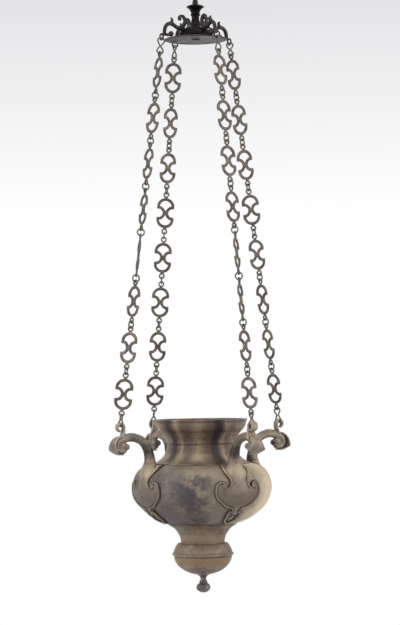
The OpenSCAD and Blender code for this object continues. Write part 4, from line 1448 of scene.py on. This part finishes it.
            # These two dark strips are painted shade: the groove inside the bead, and the contact shadow at
            # the plate's edge.
            self.laid(bm, beside(line, -1.7), thick - 0.15, (0.8, 0.42), 1)
            self.laid(bm, beside(line, 1.8), thick - 1.4, (0.9, 1.1), 1)
        for (y, z), size in self.bosses:
            # A dark ring of painted shade round each boss.
            self.laid(bm, arc((y, z), size + 0.3, 0, 358, 24), thick - 0.1, (0.8, 0.5), 1)
            for s in (-1, 1):
                place = self.on_plate([(s * y, z), (s * y, z - 0.1)], thick)[0]
                ball(bm, place @ Matrix.Diagonal((size, size * self.button_share, size, 1)))
        # The vein's dark line takes the same finish, as painted groove shade.
        self.laid(bm, soft(self.vein), thick - 0.1, (0.9, 0.5), 1)

    def strap(self, side: Side) -> Shape:
        """Curls the strap that the chain's last hook hangs in, on +X, each side's a little differently."""
        wide, end, lean = {
            Side.LEFT: (1.0, -84, 0.0), Side.FRONT: (1.45, -150, 0.4), Side.RIGHT: (1.15, -70, 0.0),
            Side.BACK: (1.25, -100, -0.3),
        }[side]
        bm = bmesh.new()
        r, z = self.eye_at[0], RIM_Z + self.eye_at[1]
        loop = arc((r + lean, z), self.eye_mean, 182, end, 18)
        line = soft([(r - 1.2, z - 18), (r - 3.4, z - 12), (r - 5.2, z - 5.5)], 3) + loop
        last = len(line) - 1
        sizes = [
            (2.4 - 0.7 * (i / last) ** 3, wide * (3.9 + 2.8 * max(0.0, 1 - i / 7) - 0.8 * (i / last) ** 4))
            for i in range(last + 1)
        ]
        swept(bm, BAR, flat_places([Vector((x, 0, up)) for x, up in line], ALONG_Y, sizes))
        return bm

    def curled(self, stations: Sequence[Station]) -> list[Station]:
        """Turns stations about the curl's centre into radius and height, with their half sizes kept."""
        r, z = self.volute_at
        return [
            (r + p * math.cos(math.radians(a)), z + p * math.sin(math.radians(a)), *sizes)
            for a, p, *sizes in stations
        ]

    def pattern(self) -> Mesh:
        """Casts one arm on +X.

        Returns:
            The mesh that the four arms are copied from, in millimetres.
        """
        bm = bmesh.new()
        radial_bar(bm, RIDGED, [*self.root, *self.curled(self.curl)], RIM_Z, 4)
        r, z = self.volute_at
        for x, up, size, wide in self.cores:
            place = Matrix.Translation((r + x, 0, RIM_Z + z + up)) @ Matrix.Diagonal((size, wide, size, 1))
            ball(bm, place, segments=24, rings=16)
        joined(bm, self.plate())
        made = cast(bm, grain=0.75, rounds=2, keep=0.5)
        radial_bar(made, BAR, self.curled(self.leaf), RIM_Z, 4)
        self.border(made)
        return stored(made, "arm_pattern")

    def build(self) -> None:
        """Makes the four arms."""
        pattern = self.pattern()
        for side in Side:
            bm = bmesh.new()
            bm.from_mesh(pattern)
            joined(bm, self.strap(side))
            rough(bm, amount=0.22, grain=7.0, seed=side.value / 90)
            bmesh.ops.transform(bm, matrix=side.turn, verts=bm.verts)
            name = f"{side.word}_arm"
            mesh = to_mesh(bm, name, 75)
            made = add_piece(f"{name}_cast", mesh, ARM, Slot.ARM_BRONZE, "vessel", name)
            # The second finish is the painted shade of the grooves and the plate's edge.
            made.data.materials.append(GROOVE_SHADE.material())
        bpy.data.meshes.remove(pattern)


# The room and the camera


@dataclass
class Studio:
    """The pale room, its soft lamps and the camera where the photograph was taken. Metres and degrees.

    Each lamp has its turn from the camera's, its height, its distance from the axis, its size and its watts.
    """

    azimuth: float = -32.0
    distance: float = 3.5
    eye_z: float = -0.62
    sideways: float = 0.00066
    lift: float = 1.616
    roll: float = -0.81
    lens: float = 134.46
    floor_z: float = -1.62
    floor_r: float = 2.2
    lamps: tuple[tuple[str, float, float, float, Point, float], ...] = (
        ("left softbox", -62, -0.1, 2.4, (1.2, 2.2), 30.0),
        ("right softbox", 66, -0.2, 2.5, (1.2, 2.2), 26.0),
        ("top softbox", 10, 1.6, 1.0, (1.8, 1.8), 22.0),
        ("back softbox", 180, 0.9, 2.4, (1.6, 1.2), 16.0),
    )

    def camera(self) -> None:
        """Sets up the camera, leaning as the photograph leans."""
        data = bpy.data.cameras.new("photo_camera")
        data.sensor_width = 36.0
        data.lens = self.lens
        data.clip_start, data.clip_end = 0.05, 60.0
        made = placed("photo_camera", data)
        a, lift = math.radians(self.azimuth), math.radians(self.lift)
        back = Vector((math.sin(a), -math.cos(a), 0))
        right = Vector((math.cos(a), math.sin(a), 0))
        look = (-back * math.cos(lift) + ALONG_Z * math.sin(lift)).normalized()
        made.location = back * self.distance + right * self.sideways + Vector((0, 0, self.eye_z))
        turn = look.to_track_quat("-Z", "Y").to_matrix().to_4x4()
        made.rotation_euler = (turn @ Matrix.Rotation(math.radians(self.roll), 4, "Z")).to_euler()
        bpy.context.scene.camera = made

    def light(self) -> None:
        """Hangs the soft lamps round the object and points them at its middle."""
        for name, turn, up, away, size, power in self.lamps:
            data = bpy.data.lights.new(name, "AREA")
            data.shape = "RECTANGLE"
            data.size, data.size_y = size
            data.energy = power
            made = placed(name, data)
            a = math.radians(self.azimuth + turn)
            made.location = (math.sin(a) * away, -math.cos(a) * away, up)
            aim = Vector((0, 0, self.eye_z)) - made.location
            made.rotation_euler = aim.to_track_quat("-Z", "Y").to_euler()

    def floor(self) -> None:
        """Lays the pale floor, well below the lamp and out of the photograph's frame."""
        bm = bmesh.new()
        low = Matrix.Translation((0, 0, self.floor_z))
        bmesh.ops.create_circle(bm, cap_ends=True, radius=self.floor_r, segments=96, matrix=low)
        made = placed("floor", stored(bm, "floor"))
        material = bpy.data.materials.new("pale floor")
        material.use_nodes = True
        bench = Bench(material.node_tree)
        at = bench.node("ShaderNodeTexCoord").outputs["Object"]
        speck = bench.blend(bench.cloud(at, 3.0), linear((236, 236, 236)), linear((244, 244, 243)))
        shader = material.node_tree.nodes["Principled BSDF"]
        material.node_tree.links.new(speck, shader.inputs["Base Color"])
        shader.inputs["Roughness"].default_value = 0.9
        made.data.materials.append(material)

    def sky(self) -> None:
        """Sets the room's even light, and behind it the pale grey that fades to white lower down."""
        world = bpy.data.worlds.new("studio")
        bpy.context.scene.world = world
        world.use_nodes = True
        world.node_tree.nodes.clear()
        bench = Bench(world.node_tree)
        way = bench.node("ShaderNodeTexCoord").outputs["Generated"]
        high = bench.spread(bench.node("ShaderNodeSeparateXYZ", {0: way}).outputs["Z"], 0.07, 0.175)
        seen = bench.blend(high, linear((255, 255, 255)), linear((223, 223, 226)))
        path = bench.node("ShaderNodeLightPath").outputs
        direct = bench.math("MAXIMUM", path["Is Camera Ray"], path["Is Transmission Ray"])
        direct = bench.math("MAXIMUM", direct, path["Is Glossy Ray"])
        shown = bench.node("ShaderNodeBackground", {"Color": seen, "Strength": 1.0})
        ambient = bench.node("ShaderNodeBackground", {"Color": linear((236, 238, 242)), "Strength": 0.55})
        mixed = bench.node("ShaderNodeMixShader", {0: direct, 1: ambient.outputs[0], 2: shown.outputs[0]})
        bench.node("ShaderNodeOutputWorld", {"Surface": mixed.outputs[0]})

    def build(self) -> None:
        """Sets up the whole studio."""
        bpy.context.scene.view_settings.view_transform = "Standard"
        self.camera()
        self.floor()
        self.sky()
        self.light()


def main() -> None:
    """Builds the lamp from the top down and sets it in the studio."""
    logging.basicConfig(level=logging.INFO, format="%(message)s")
    Studio().build()
    Suspension().build()
    Canopy().build()
    pattern = Link().pattern()
    hanging = {
        Side.LEFT: ((-6, 10, -2, -9, -25, 8, 30, 52), 2.8),
        Side.FRONT: ((16, 10, 6, 13, 43, 43, 22, 3), 2.8),
        Side.RIGHT: ((12, 20, 26, 44, 24, 3, 1, 12), -1.5),
        Side.BACK: ((-11, 9, -4, -30, -32, -27, -12, -27), -0.5),
    }
    for side, (turns, slack) in hanging.items():
        Chain(side, turns, slack).build(pattern)
    bpy.data.meshes.remove(pattern)
    Vessel().build()
    ScrollArm().build()


if __name__ == "__main__":
    main()
